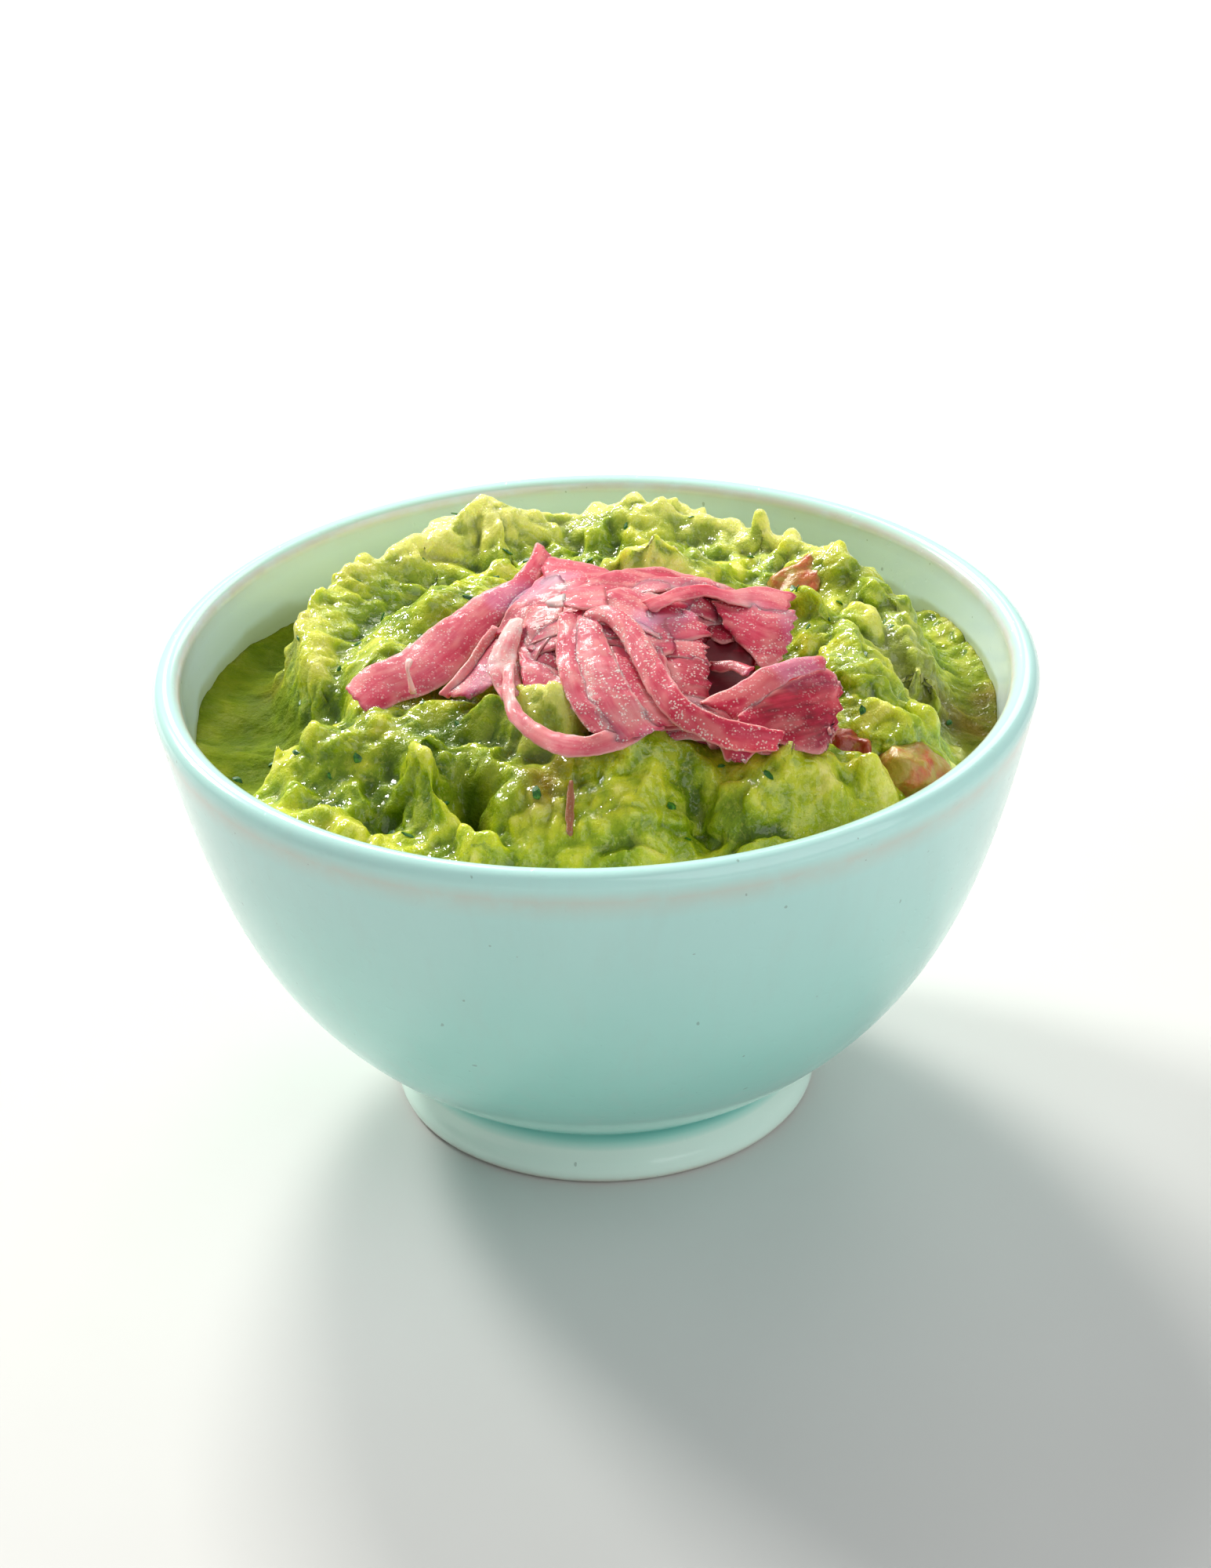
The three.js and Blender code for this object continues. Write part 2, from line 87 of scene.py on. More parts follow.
def ramp(tree, value, low, high, toLow=0.0, toHigh=1.0):
    inputs = {"Value": value, "From Min": low, "From Max": high, "To Min": toLow, "To Max": toHigh}
    return addNode(tree, "ShaderNodeMapRange", inputs, interpolation_type="SMOOTHSTEP").outputs[0]


def mixColour(tree, factor, first, second):
    inputs = {0: factor, 6: first, 7: second}
    return addNode(tree, "ShaderNodeMix", inputs, data_type="RGBA").outputs[2]


def noiseOf(tree, vector, size, detail=2.0, roughness=0.5, distortion=0.0):
    # size is that of one blotch, in millimetres
    inputs = {
        "Vector": vector, "Scale": 1 / (size * mm), "Detail": detail,
        "Roughness": roughness, "Distortion": distortion,
    }
    return addNode(tree, "ShaderNodeTexNoise", inputs).outputs["Fac"]


def paint(red, green, blue):
    # a colour picked from 0 to 255 on screen, as the shader wants it
    def linear(value):
        share = value / 255
        return share / 12.92 if share <= 0.04045 else ((share + 0.055) / 1.055) ** 2.4
    return (linear(red), linear(green), linear(blue), 1.0)


def colourRamp(tree, factor, stops):
    node = addNode(tree, "ShaderNodeValToRGB", {"Fac": factor})
    elements = node.color_ramp.elements
    while len(elements) < len(stops):
        elements.new(0.5)
    for element, (place, colour) in zip(elements, stops):
        element.position = place
        element.color = paint(*colour)
    return node.outputs["Color"]


def attribute(tree, name):
    return addNode(tree, "ShaderNodeAttribute", attribute_name=name).outputs["Fac"]


def stored(tree, name, kind="FLOAT"):
    # an attribute of the mesh, in a geometry tree
    return addNode(tree, "GeometryNodeInputNamedAttribute", {"Name": name}, data_type=kind).outputs[0]


def newMaterial(name, constants):
    material = bpy.data.materials.new(name)
    material.use_nodes = True
    tree = material.node_tree
    shader = tree.nodes["Principled BSDF"]
    for socket, value in constants.items():
        shader.inputs[socket].default_value = value
    return material, tree, shader


def objectPlace(tree):
    return addNode(tree, "ShaderNodeTexCoord").outputs["Object"]


def addBump(tree, shader, height, depth, socket="Normal"):
    bump = addNode(tree, "ShaderNodeBump", {"Height": height, "Distance": depth * mm})
    tree.links.new(bump.outputs[0], shader.inputs[socket])


def linkPiece(name, mesh, material, smooth):
    mesh.polygons.foreach_set("use_smooth", [smooth] * len(mesh.polygons))
    if material:
        mesh.materials.append(material)
    piece = bpy.data.objects.new(name, mesh)
    bpy.context.scene.collection.objects.link(piece)
    return piece


def newPiece(name, points, faces, material=None, smooth=True):
    mesh = bpy.data.meshes.new(name)
    mesh.from_pydata([tuple(p) for p in points], [], faces)
    return linkPiece(name, mesh, material, smooth)


def pieceOfShape(name, shape, material):
    # makes a smooth piece of a bmesh and frees it
    mesh = bpy.data.meshes.new(name)
    shape.to_mesh(mesh)
    shape.free()
    return linkPiece(name, mesh, material, True)


def setAttribute(piece, name, values):
    layer = piece.data.attributes.new(name, "FLOAT", "POINT")
    layer.data.foreach_set("value", np.asarray(values, dtype=np.float32))


def setEverywhere(piece, name, value):
    setAttribute(piece, name, np.full(len(piece.data.vertices), value))


def newTree(name, inputs):
    tree = bpy.data.node_groups.new(name, "GeometryNodeTree")
    face = tree.interface
    face.new_socket("Geometry", in_out="INPUT", socket_type="NodeSocketGeometry")
    for label, value in inputs.items():
        kind = "NodeSocketInt" if isinstance(value, int) else "NodeSocketFloat"
        face.new_socket(label, in_out="INPUT", socket_type=kind).default_value = value
    face.new_socket("Geometry", in_out="OUTPUT", socket_type="NodeSocketGeometry")
    given = tree.nodes.new("NodeGroupInput").outputs
    return tree, given


def finishTree(tree, geometry, material):
    solid = addNode(tree, "GeometryNodeRealizeInstances", {"Geometry": geometry}).outputs[0]
    dressed = addNode(tree, "GeometryNodeSetMaterial", {"Geometry": solid, "Material": material})
    addNode(tree, "NodeGroupOutput", {"Geometry": dressed.outputs[0]})


def applyTree(piece, tree, settings):
    modifier = piece.modifiers.new(tree.name, "NODES")
    modifier.node_group = tree
    for item in tree.interface.items_tree:
        if item.in_out == "INPUT" and item.name in settings:
            modifier[item.identifier] = settings[item.name]
    bpy.context.view_layer.update()
    shaped = piece.evaluated_get(bpy.context.evaluated_depsgraph_get())
    mesh = bpy.data.meshes.new_from_object(shaped)
    piece.modifiers.remove(modifier)
    old = piece.data
    piece.data = mesh
    bpy.data.meshes.remove(old)


def keep(piece, node):
    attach(piece, "root")
    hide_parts(node)
    count = sum(len(p.vertices) - 2 for p in piece.data.polygons)
    print(piece.name, "has", count, "triangles")


def smoothstep(value, low, high):
    share = np.clip((value - low) / (high - low), 0, 1)
    return share * share * (3 - 2 * share)


camera = {
    "place": (0.0, -475.755, 315.965),
    "right": (0.99960104, -0.01543885, -0.02365173),
    "up": (0.02817702, 0.48715176, 0.87286266),
    "forward": (0.00195401, 0.87318086, -0.48739242),
    "lens": 83.41,
    "sensorWidth": 36,
    "clipStart": 0.01,
}


def makeCamera():
    data = bpy.data.cameras.new("camera")
    data.lens = camera["lens"]
    data.sensor_width = camera["sensorWidth"]
    data.clip_start = camera["clipStart"]
    columns = [camera["right"], camera["up"], [-v for v in camera["forward"]]]
    turn = Matrix(columns).transposed().to_4x4()
    view = bpy.data.objects.new("camera", data)
    view.matrix_world = Matrix.Translation(Vector(camera["place"]) * mm) @ turn
    bpy.context.scene.collection.objects.link(view)
    bpy.context.scene.camera = view


makeCamera()


bowl = {
    "segments": 256,
    "footRadius": 32.4,
    "recessDepth": 4.6,
    "neckRadius": 30.6,
    "neckHeight": 7.2,
    "bodyStart": (33.6, 10.0),
    "outerWall": [(33.6, 10.0), (53.1, 24.5), (58.7, 39.8), (65.0, 70.4)],
    "innerWall": [(60.8, 70.4), (54.2, 37.0), (44.5, 13.5), (0.0, 13.5)],
    "lipRadius": 2.1,
    "lipHeight": 70.4,
    "wobble": 0.12,
    # the lip's thin glaze: at this angle round the lip, over this spread, this strong
    "thinLip": (150, 26, 0.75),
    # more thin glaze: height, spread, the radius that it lies beyond, strength
    "thinBands": [(68.6, 0.55, 63, 0.55), (66.4, 0.5, 62.5, 0.25), (0.3, 0.8, 27, 0.9), (10.6, 0.5, 30, 0.3)],
    # glaze gathered in the groove over the foot: height, spread, least and greatest radius
    "pool": (7.9, 1.0, 29, 36),
    # mash smeared on the inner wall: reach everywhere, more of it at a heading, that heading, its spread
    "smear": (1.2, 4.5, 2.45, 0.3),
    "colours": {
        "wall": [
            (0.0, (158, 228, 215)), (0.22, (160, 229, 216)), (0.6, (180, 236, 226)), (1.0, (192, 235, 229)),
        ],
        "runs": (190, 220, 212),
        # painted light on the foot, as from the floor
        "foot": (226, 252, 240),
        # painted light and reflection: the upper inner wall, paler and bluer
        "inside": (224, 240, 255),
        "pool": (104, 190, 178),
        "thin": (214, 206, 192),
        "freckle": (120, 140, 130),
        "mashFilm": (150, 160, 60),
    },
}


def bezier(points, count):
    grid = np.linspace(0, 1, count)[:, None]
    far = 1 - grid
    p = np.array(points, dtype=float)
    if len(p) == 3:
        return far ** 2 * p[0] + 2 * grid * far * p[1] + grid ** 2 * p[2]
    return far ** 3 * p[0] + 3 * far ** 2 * grid * p[1] + 3 * far * grid ** 2 * p[2] + grid ** 3 * p[3]


def arcPoints(centre, radius, start, end, count):
    angles = np.radians(np.linspace(start, end, count))
    return np.stack([centre[0] + radius * np.cos(angles), centre[1] + radius * np.sin(angles)], 1)


innerCurve = bezier(bowl["innerWall"], 400)


def wallRadius(height):
    # inner radius of the bowl at a height
    return np.interp(height, innerCurve[::-1, 1], innerCurve[::-1, 0])


def lipCentre():
    return bowl["outerWall"][-1][0] - bowl["lipRadius"], bowl["lipHeight"]


def bowlProfile():
    # from the middle of the underside, up the outside, over the lip and down to the middle of the inside
    foot = bowl["footRadius"]
    recess = bowl["recessDepth"]
    neck = bowl["neckRadius"]
    pieces = [
        np.array([(0, recess), (8, recess), (16, recess), (23, recess)]),
        bezier([(24.6, recess), (25.9, recess), (26.4, 3.9)], 6),
        bezier([(27.6, 1.3), (28.2, 0.0), (29.2, 0.0)], 7),
        arcPoints((foot - 1.5, 1.5), 1.5, -90, 0, 9),
        np.array([(foot - 0.15, 2.3), (31.75, 3.2), (31.3, 4.2), (neck + 0.45, 5.2), (neck + 0.15, 6.3)]),
        bezier([(neck, bowl["neckHeight"]), (neck, 9.6), bowl["bodyStart"]], 12),
        bezier(bowl["outerWall"], 48)[1:],
        arcPoints(lipCentre(), bowl["lipRadius"], 0, 180, 25)[1:],
        bezier(bowl["innerWall"], 64)[1:],
    ]
    return np.concatenate(pieces)


def spin(profile, sides, wobble):
    # a closed lathe; the profile starts and ends on the axis
    angles = np.linspace(0, 2 * np.pi, sides, endpoint=False)
    points = [(0, 0, profile[0][1])]
    for radius, height in profile[1:-1]:
        sway = wobble * smoothstep(height, 12, 60)
        away = radius + sway * (np.sin(2 * angles + 0.7) + 0.4 * np.sin(3 * angles + 2.0))
        points += list(zip(away * np.cos(angles), away * np.sin(angles), [height] * sides))
    points.append((0, 0, profile[-1][1]))
    faces = []
    rings = len(profile) - 2
    for j in range(sides):
        k = (j + 1) % sides
        faces.append((0, 1 + k, 1 + j))
        for ring in range(rings - 1):
            low, high = 1 + ring * sides, 1 + (ring + 1) * sides
            faces.append((low + j, low + k, high + k, high + j))
        top = 1 + (rings - 1) * sides
        faces.append((top + j, top + k, len(points) - 1))
    return np.array(points), faces


def glazeMaterial():
    colours = bowl["colours"]
    material, tree, shader = newMaterial("celadonGlaze", {
        "Roughness": 0.16, "Specular IOR Level": 0.5, "Subsurface Weight": 0.12,
        "Subsurface Radius": (0.8, 1.0, 0.9), "Subsurface Scale": 0.003,
        "Coat Weight": 0.25, "Coat Roughness": 0.04,
    })
    place = objectPlace(tree)
    height = addNode(tree, "ShaderNodeSeparateXYZ", {0: place}).outputs["Z"]
    cloud = noiseOf(tree, place, 22, 3, 0.5)
    drift = plus(tree, height, times(tree, minus(tree, cloud, 0.5), 0.012))
    # painted shade: the glaze is darker and greener towards the foot
    body = colourRamp(tree, ramp(tree, drift, 0.004, 0.07), colours["wall"])
    # slow runs down the wall and fine freckles in the glaze
    runs = addNode(tree, "ShaderNodeMapping", {"Vector": place, "Scale": (1.0, 1.0, 0.12)}).outputs[0]
    streak = noiseOf(tree, runs, 3.2, 4, 0.6)
    body = mixColour(tree, ramp(tree, streak, 0.45, 0.75, 0, 0.16), body, paint(*colours["runs"]))
    pool = times(tree, attribute(tree, "glazePool"), ramp(tree, cloud, 0.25, 0.6, 0.6, 1.0))
    # painted light on the foot, as from the floor
    body = mixColour(tree, attribute(tree, "paleFoot"), body, paint(*colours["foot"]))
    # painted light and reflection on the upper inner wall
    body = mixColour(tree, attribute(tree, "innerGlaze"), body, paint(*colours["inside"]))
    body = mixColour(tree, pool, body, paint(*colours["pool"]))
    edgeNoise = noiseOf(tree, place, 5, 3, 0.6)
    thin = times(tree, attribute(tree, "thinGlaze"), ramp(tree, edgeNoise, 0.3, 0.6, 0.55, 1.0))
    body = mixColour(tree, thin, body, paint(*colours["thin"]))
    speck = noiseOf(tree, place, 1.1, 0, 0.5)
    body = mixColour(tree, ramp(tree, speck, 0.86, 0.89, 0, 0.45), body, paint(*colours["freckle"]))
    # a film of mash left on the inner wall above the filling
    wipe = noiseOf(tree, place, 9, 4, 0.55)
    smear = attribute(tree, "smear")
    film = ramp(tree, plus(tree, smear, times(tree, wipe, 0.7)), 0.55, 1.15)
    film = times(tree, film, smear)
    body = mixColour(tree, times(tree, film, 0.55), body, paint(*colours["mashFilm"]))
    tree.links.new(body, shader.inputs["Base Color"])
    slow = noiseOf(tree, place, 16, 1, 0.4)
    rings = addNode(tree, "ShaderNodeMapping", {"Vector": place, "Scale": (0.05, 0.05, 1.0)}).outputs[0]
    turned = noiseOf(tree, rings, 3.5, 2, 0.5)
    pits = ramp(tree, noiseOf(tree, place, 1.1, 0), 0.18, 0.26, 0, 1)
    relief = plus(tree, times(tree, slow, 1.2), times(tree, turned, 0.25))
    relief = plus(tree, relief, times(tree, pits, 0.12))
    addBump(tree, shader, relief, 0.12)
    return material


def makeBowl():
    profile = bowlProfile()
    points, faces = spin(profile, bowl["segments"], bowl["wobble"])
    piece = newPiece("celadonBowl", points * mm, faces, glazeMaterial())
    radius = np.hypot(points[:, 0], points[:, 1])
    angle = np.arctan2(points[:, 1], points[:, 0])
    height = points[:, 2]
    # the glaze runs thin on the lip and the foot's lower edge and gathers in the groove
    lipRadius, lipHeight = lipCentre()
    lipAngle = np.degrees(np.arctan2(height - lipHeight, radius - lipRadius))
    thinnest, spread, strength = bowl["thinLip"]
    thin = smoothstep(height, 68.2, 69.6) * np.exp(-((lipAngle - thinnest) / spread) ** 2) * strength
    for level, spread, beyond, strength in bowl["thinBands"]:
        thin += np.exp(-((height - level) / spread) ** 2) * (radius > beyond) * strength
    setAttribute(piece, "thinGlaze", np.clip(thin, 0, 1))
    # the foot takes painted light, as from the floor
    setAttribute(piece, "paleFoot", (1 - smoothstep(height, 5.0, 7.0)) * (radius > 27))
    level, spread, least, greatest = bowl["pool"]
    pool = np.exp(-((height - level) / spread) ** 2) * (radius > least) * (radius < greatest)
    setAttribute(piece, "glazePool", np.clip(pool, 0, 1))
    inside = (radius < wallRadius(height) + 0.6) & (height > 50)
    # the upper inner wall takes painted light and reflection
    setAttribute(piece, "innerGlaze", inside * 0.8)
    everywhere, more, heading, spread = bowl["smear"]
    reach = everywhere + more * np.exp(-((angle - heading) / spread) ** 2)
    setAttribute(piece, "smear", inside * (1 - smoothstep(height - edgeLevel(angle), 0.3, reach)))
    keep(piece, "bowl")


mash = {
    "grid": 280,
    "intoWall": 0.25,
    "lowerRings": [0.12, 0.3, 0.62, 0.86],
    "floor": 13.85,
    "moatLevel": 62.5,
    "frontLevel": 67.5,
    "moatDip": 1.5,
    "plateau": 75.0,
    "lumpFall": 5.0,
    "lumpRound": 0.7,
    "lumpBlend": 1.2,
    "crestFall": 4.0,
    "cliff": 2.2,
    "cliffShare": 0.82,
    "knobs": 230,
    "warp": 0.6,
    "colours": {
        "body": [
            (0.16, (98, 128, 4)), (0.36, (136, 162, 10)), (0.54, (170, 188, 26)),
            (0.70, (204, 210, 46)), (0.86, (232, 228, 116)),
        ],
        # painted sheen of the wet film
        "milk": (210, 216, 88),
        "freckle": (214, 216, 88),
        "thread": (100, 134, 30),
        # painted shade, low by the wall and in the deep folds and pockets
        "moat": (84, 104, 14),
        "deep": (56, 88, 4),
        # paler flesh and painted light
        "flesh": (250, 246, 142),
        # brown tinges, partly painted shade by the wall
        "tinge": (118, 92, 22),
    },
}

# How far the mound reaches at each heading, in degrees; where it passes the wall there is no moat.
moundOutline = [
    (-180, 44.5), (-172, 42.5), (-164, 43.5), (-157, 47.0), (-150, 58.0), (-142, 75.0), (-42, 75.0),
    (-32, 60.0), (-24, 55.0), (-12, 53.0), (0, 52.0), (15, 52.5), (30, 52.0), (45, 50.5), (60, 49.4),
    (90, 48.6), (120, 48.3), (150, 47.4), (166, 48.0), (180, 44.5),
]

# Where the mound runs down in a longer slope than elsewhere: heading, spread and extra half-width.
slopes = {"right": (22, 20, 3.2), "back": (98, 42, 2.0)}

# The crest round the left, back and right of the mound: heading, distance from the middle and height.
crest = [
    (-10, 47.5, 72.0), (0, 46.0, 74.0), (15, 44.2, 76.6), (30, 42.8, 77.4), (45, 42.6, 76.0),
    (53, 42.0, 76.8), (62, 42.0, 76.2), (73, 41.8, 78.6), (80, 41.8, 78.6), (90, 42.0, 76.8),
    (97, 42.0, 76.5), (105, 42.0, 77.4), (113, 42.2, 79.8), (120, 42.5, 77.5), (135, 42.6, 76.6),
    (150, 43.0, 76.0), (165, 43.4, 75.4), (180, 43.8, 74.4), (190, 43.0, 72.0),
]

# A lump is a rounded knob of mash: x, y, top height, half-length, half-width, heading.
lumps = [
    # swells along the crest
    (-40.5, 13, 75.6, 8, 5, 70), (-27, 32, 76.8, 7, 5, 35), (-15, 38.5, 78.8, 6, 5.5, 0),
    (9, 40, 78.8, 6.5, 5, 5),
    # a nearer crest behind the onion, and the slope to its left
    (8, 14, 83.5, 12, 6, 10), (-20, 10, 78.6, 14, 10, 40), (-31, -4, 77.0, 8, 6, 70),
    # the right side, in slabs
    (36, 22, 78.3, 8, 5, -30), (43, 11, 76.5, 8, 5, -65), (30, 2, 81.5, 7, 5, -40),
    (37, -11, 79, 9, 6, -70), (49, -3, 72, 8, 4, -80), (45, -21, 74, 7, 5, -50),
    # the bed under the onion
    (-10, -13, 80, 10, 7, 10), (12, -14, 80.5, 12, 8, -10), (2, -26, 79.5, 12, 6, 0),
    (-24, -14, 78, 9, 5, 30), (-14, -27, 79, 8, 4.5, -10),
    # boulders along the front
    (7, -37, 80, 13, 8, 8), (24.5, -40.5, 78, 10, 6, 14), (35.5, -37.5, 74, 6, 4.5, 30),
    (-37, -25, 74.0, 9, 6, -15), (-46.5, -21.5, 71.0, 4, 2.6, -30), (-24.5, -36, 77, 9, 3, -72),
    (-12.5, -39.5, 75, 4.5, 4, 20),
    # low lumps against the wall at the front
    (-33, -43, 69.5, 6, 3, -40), (-14, -50, 70, 8, 3.5, -15), (4, -53, 70, 9, 3.5, 5),
    (22, -52, 71, 8, 3.5, 20), (-42, -33, 70, 5, 4, -40),
]

# Crevices between the boulders and beside the crest: x, y, radius, height.
hollows = [
    (-17.0, -41.5, 6.0, -8.5), (16, -46.5, 5, -3), (-29, -33, 5, -2), (-38, -13, 6, -4), (1, 26, 8, -2),
    (22, 12, 6, -2.5), (-31.5, -41.0, 4.5, -3.5), (11.5, -43.5, 4, -3), (-18.5, -36, 4, -3),
]

# Touches with the spoon: x, y, rise, half-length, half-width, heading and how far one side is steeper.
dabs = [
    # nubs along the crest
    (-42.5, 15.5, 0.9, 2.6, 2.2, 20, 0.3), (-38.5, 21.5, 1.0, 2.4, 2.0, 60, 0.2),
    (-34.5, 26.5, 0.9, 2.2, 2.0, 45, 0.2), (-29.5, 30.5, 0.9, 2.4, 2.0, 30, 0.3),
    (-25.5, 34.5, 0.8, 2.0, 1.8, 0, 0.2), (-16.5, 38.5, 1.0, 3.0, 2.4, 80, 0.3),
    (-12.0, 39.5, 0.8, 2.2, 2.0, 0, 0.1), (-20.5, 36.5, 0.8, 2.0, 1.8, 0, 0.1),
    (6.5, 40.0, 0.9, 1.8, 1.6, 0, 0.2), (11.8, 39.5, 1.0, 2.0, 1.8, 30, 0.2),
    (17.5, 36.5, 0.8, 2.4, 1.8, -20, 0.2), (25.5, 33.0, 2.4, 2.0, 1.7, -60, 0.2),
    (30.5, 27.5, 0.8, 2.6, 2.0, -40, 0.2),
    # nubs on the nearer crest
    (0.0, 10.0, 1.0, 1.8, 1.5, 0, 0.2), (4.5, 11.8, 1.4, 1.7, 1.5, 20, 0.2),
    (8.7, 13.2, 1.5, 1.9, 1.5, 50, 0.2), (12.6, 12.4, 1.4, 1.8, 1.4, -20, 0.2),
    (16.5, 10.6, 1.3, 2.0, 1.5, 10, 0.2),
    # room for the small die at the right to show
    (35.2, -34.8, -1.9, 3.2, 1.8, 0, 0.0),
    # mash lapping over the front die
    (38.2, -37.6, 2.2, 3.6, 2.2, 35, 0.2),
    # slabs at the right
    (32.5, -1.0, 2.0, 3.6, 2.6, -18, 0.6), (36.5, 19.0, 1.2, 3.6, 2.2, -15, 0.3),
    (41.0, 11.0, 1.2, 4.0, 2.0, -55, 0.3), (38.0, -9.0, 1.6, 5.0, 2.4, -60, 0.5),
    (41.0, -16.5, 1.6, 4.0, 2.4, -50, 0.5), (33.5, -14.0, 1.4, 4.4, 2.2, -70, 0.5),
    (45.5, -1.0, 1.4, 5.0, 2.0, -75, 0.4), (37.0, -22.0, 1.6, 3.2, 2.2, -30, 0.4),
    # left boulder, its pulled corner and the dimple behind it
    (-46.5, -21.0, 1.8, 2.2, 1.6, 60, 0.3), (-41.0, -24.0, 1.0, 3.4, 2.4, 0, 0.3),
    (-35.5, -29.5, 1.2, 3.8, 3.2, 0, 0.2), (-32.5, -22.5, 1.4, 3.6, 2.6, 60, 0.2),
    # the leaning tongue and the crevices on each side of it
    (-29.5, -38.0, -2.2, 5.5, 2.0, -70, 0.0), (-16.8, -44.0, -2.6, 5.0, 2.8, -75, 0.0),
    (-19.0, -38.0, -1.4, 4.0, 2.0, -50, 0.0),
    # the front boulders
    (6.5, -40.0, 1.0, 7.0, 4.0, 0, 0.2), (14.0, -47.0, -2.2, 6.0, 2.2, -70, 0.0),
    (18.5, -45.5, 1.0, 4.0, 2.6, 20, 0.2), (33.5, -43.5, 1.2, 4.4, 2.4, 35, 0.2),
    (10.0, -37.0, 1.2, 3.0, 2.0, 10, 0.2),
    # low lumps against the wall
    (-15.5, -50.0, 1.4, 4.0, 2.0, -15, 0.2), (-3.0, -53.0, 1.4, 3.0, 1.6, 0, 0.2),
    (5.5, -53.5, 1.2, 3.0, 1.6, 5, 0.2), (-52.0, -17.0, 1.0, 3.6, 1.8, -70, 0.2),
    (-40.5, -40.0, 1.0, 4.0, 2.0, -40, 0.2), (-26.0, -49.0, 1.0, 4.0, 2.0, -25, 0.2),
    # the mash seen through the onion ring
    (-7.0, -30.6, 8.8, 6.2, 4.4, -40, 0.0), (-3.6, -34.0, 3.2, 3.2, 2.4, -30, 0.0),
    # the bulge under the long strip
    (-22.0, -22.0, 1.6, 6.5, 2.8, 12, 0.4), (-14.5, -26.5, 1.4, 3.6, 2.6, 0, 0.3),
    (-18.5, -29.5, -1.4, 5.0, 2.2, 10, 0.0),
]

# Folds pulled up by the spoon: the ridge's line, rise, half-width and how far its right side is steeper.
folds = [
    # the tongue
    (
        [(-25.9, -35.9), (-24.5, -38.7), (-23.3, -43.2),
         (-21.5, -45.8), (-19.1, -48.4), (-17.7, -51.8)],
        2.2, 2.3, 0.5,
    ),
    # the lip under the long strip
    (
        [(-25.6, -30.7), (-23.1, -32), (-19.6, -35.4),
         (-17.2, -36), (-14, -34.2), (-12, -32.7)],
        1.4, 1.7, 0.4,
    ),
    # the left boulder
    ([(-47.9, -20.8), (-46.6, -24.6)], 1.5, 1.6, 0.2),
    ([(-44.2, -24.7), (-40.9, -25.1), (-39.5, -26.1)], 1, 1.5, 0.2),
    ([(-39.3, -28.4), (-35.3, -28.7), (-33.7, -26), (-32.2, -24.9)], 1.4, 1.9, 0.3),
    # the yellow lump
    ([(-15.4, -36.9), (-12.1, -40), (-10.2, -41.6), (-9.8, -44.4)], 1.4, 1.9, 0.3),
    ([(-15.4, -36.9), (-14.9, -39.6), (-13.3, -43.6), (-11.7, -44.9)], 1.2, 1.6, 0.3),
    # low at the front
    ([(-16.2, -50), (-12.6, -46.4), (-9.1, -47.5), (-6.2, -46.6), (-4.6, -49.6)], 1.3, 1.7, 0.2),
    # on each side of the sliver
    ([(-4.2, -42.3), (-4.9, -46.1), (-5.8, -47.9), (-5.4, -50)], 1.3, 1.3, 0.2),
    ([(-2.5, -44.8), (-2.5, -48.1), (-1.8, -50.6)], 0.8, 1.4, 0.2),
    # the crest of the right boulder
    (
        [(18.6, -48.7), (22.4, -47.4), (25.8, -43.1),
         (28.5, -43.6), (32.6, -44.9), (36.9, -44.7)],
        1.2, 2.3, 0.3,
    ),
    ([(25.8, -42.2), (26.4, -42.6)], 1.8, 1.4, 0.1),
    # along the top of the left cliff
    ([(-44.8, -6.4), (-44.9, 1.2), (-44.6, 7.9), (-42.5, 14.4), (-39.1, 18.2)], 1.5, 2, 0.3),
    # above the long strip
    ([(-36, -14.5), (-34.3, -10), (-32.6, -8), (-29.8, -8.5), (-28.2, -11.2)], 1.4, 1.8, 0.3),
    # the back-left crest
    (
        [(-38.6, 18.7), (-34, 22.8), (-30, 27.7),
         (-25.2, 29.7), (-21.6, 33.4), (-18.9, 36.6)],
        1.1, 2.1, 0.3,
    ),
    ([(-25.5, 20.2), (-24.2, 7.4), (-24.2, -0.9), (-25.4, -4.4)], 1, 1.7, 0.4),
    ([(-23, 23.9), (-20.7, 18.3), (-17.6, 18.7), (-13.6, 21.8)], 1, 1.8, 0.3),
    # the near crest
    ([(-1.6, 9.3), (4.1, 11.1), (11.1, 14), (15.1, 13.5), (18.9, 10.7)], 1.1, 2, 0.3),
    # the slabs at the right
    ([(27.9, -10.8), (31.4, -12.4), (33.7, -14.5), (35.9, -14.3)], 1, 1.4, 0.4),
    ([(43, -10.4), (43.2, -14.9), (42.7, -18.1), (38.8, -21.5)], 1, 1.5, 0.4),
    ([(36.4, 20.6), (37.8, 21.1)], 1.4, 2, 0.2),
    ([(25.5, 30.8), (26.1, 29)], 1.8, 1.6, 0.1),
    ([(42, 7.2), (45.7, 8), (48.1, 0.5)], 1, 2, 0.3),
    ([(46.4, -6.1), (46.6, -13.1), (46.7, -17.5)], 0.7, 2.2, 0.3),
]

# Places where the surface is calmer: x, y, radius, share taken away.
calm = [(-37, -33, 9, 0.4), (4, -43, 8, 0.3), (-30, 8, 10, 0.4), (28, -44, 7, 0.25), (-22, -24, 5, 0.3)]

# Brown tinges of what shines through the mash, and low by the wall at the right a painted brown shade: x, y,
# radius, strength.
stains = [
    (-7.2, -43.6, 3.6, 1.0), (-5.6, -41.4, 2.6, 0.8), (-40.5, 23.5, 4.0, 0.4), (-46, 9, 4.0, 0.5),
    (55, -7, 6.5, 0.95), (34, 15, 4.5, 0.35), (58, 1, 4.0, 0.8), (-33, -27, 4.0, 0.25),
    (-38, -45, 2.5, 0.5), (37, -24, 3, 0.3),
]

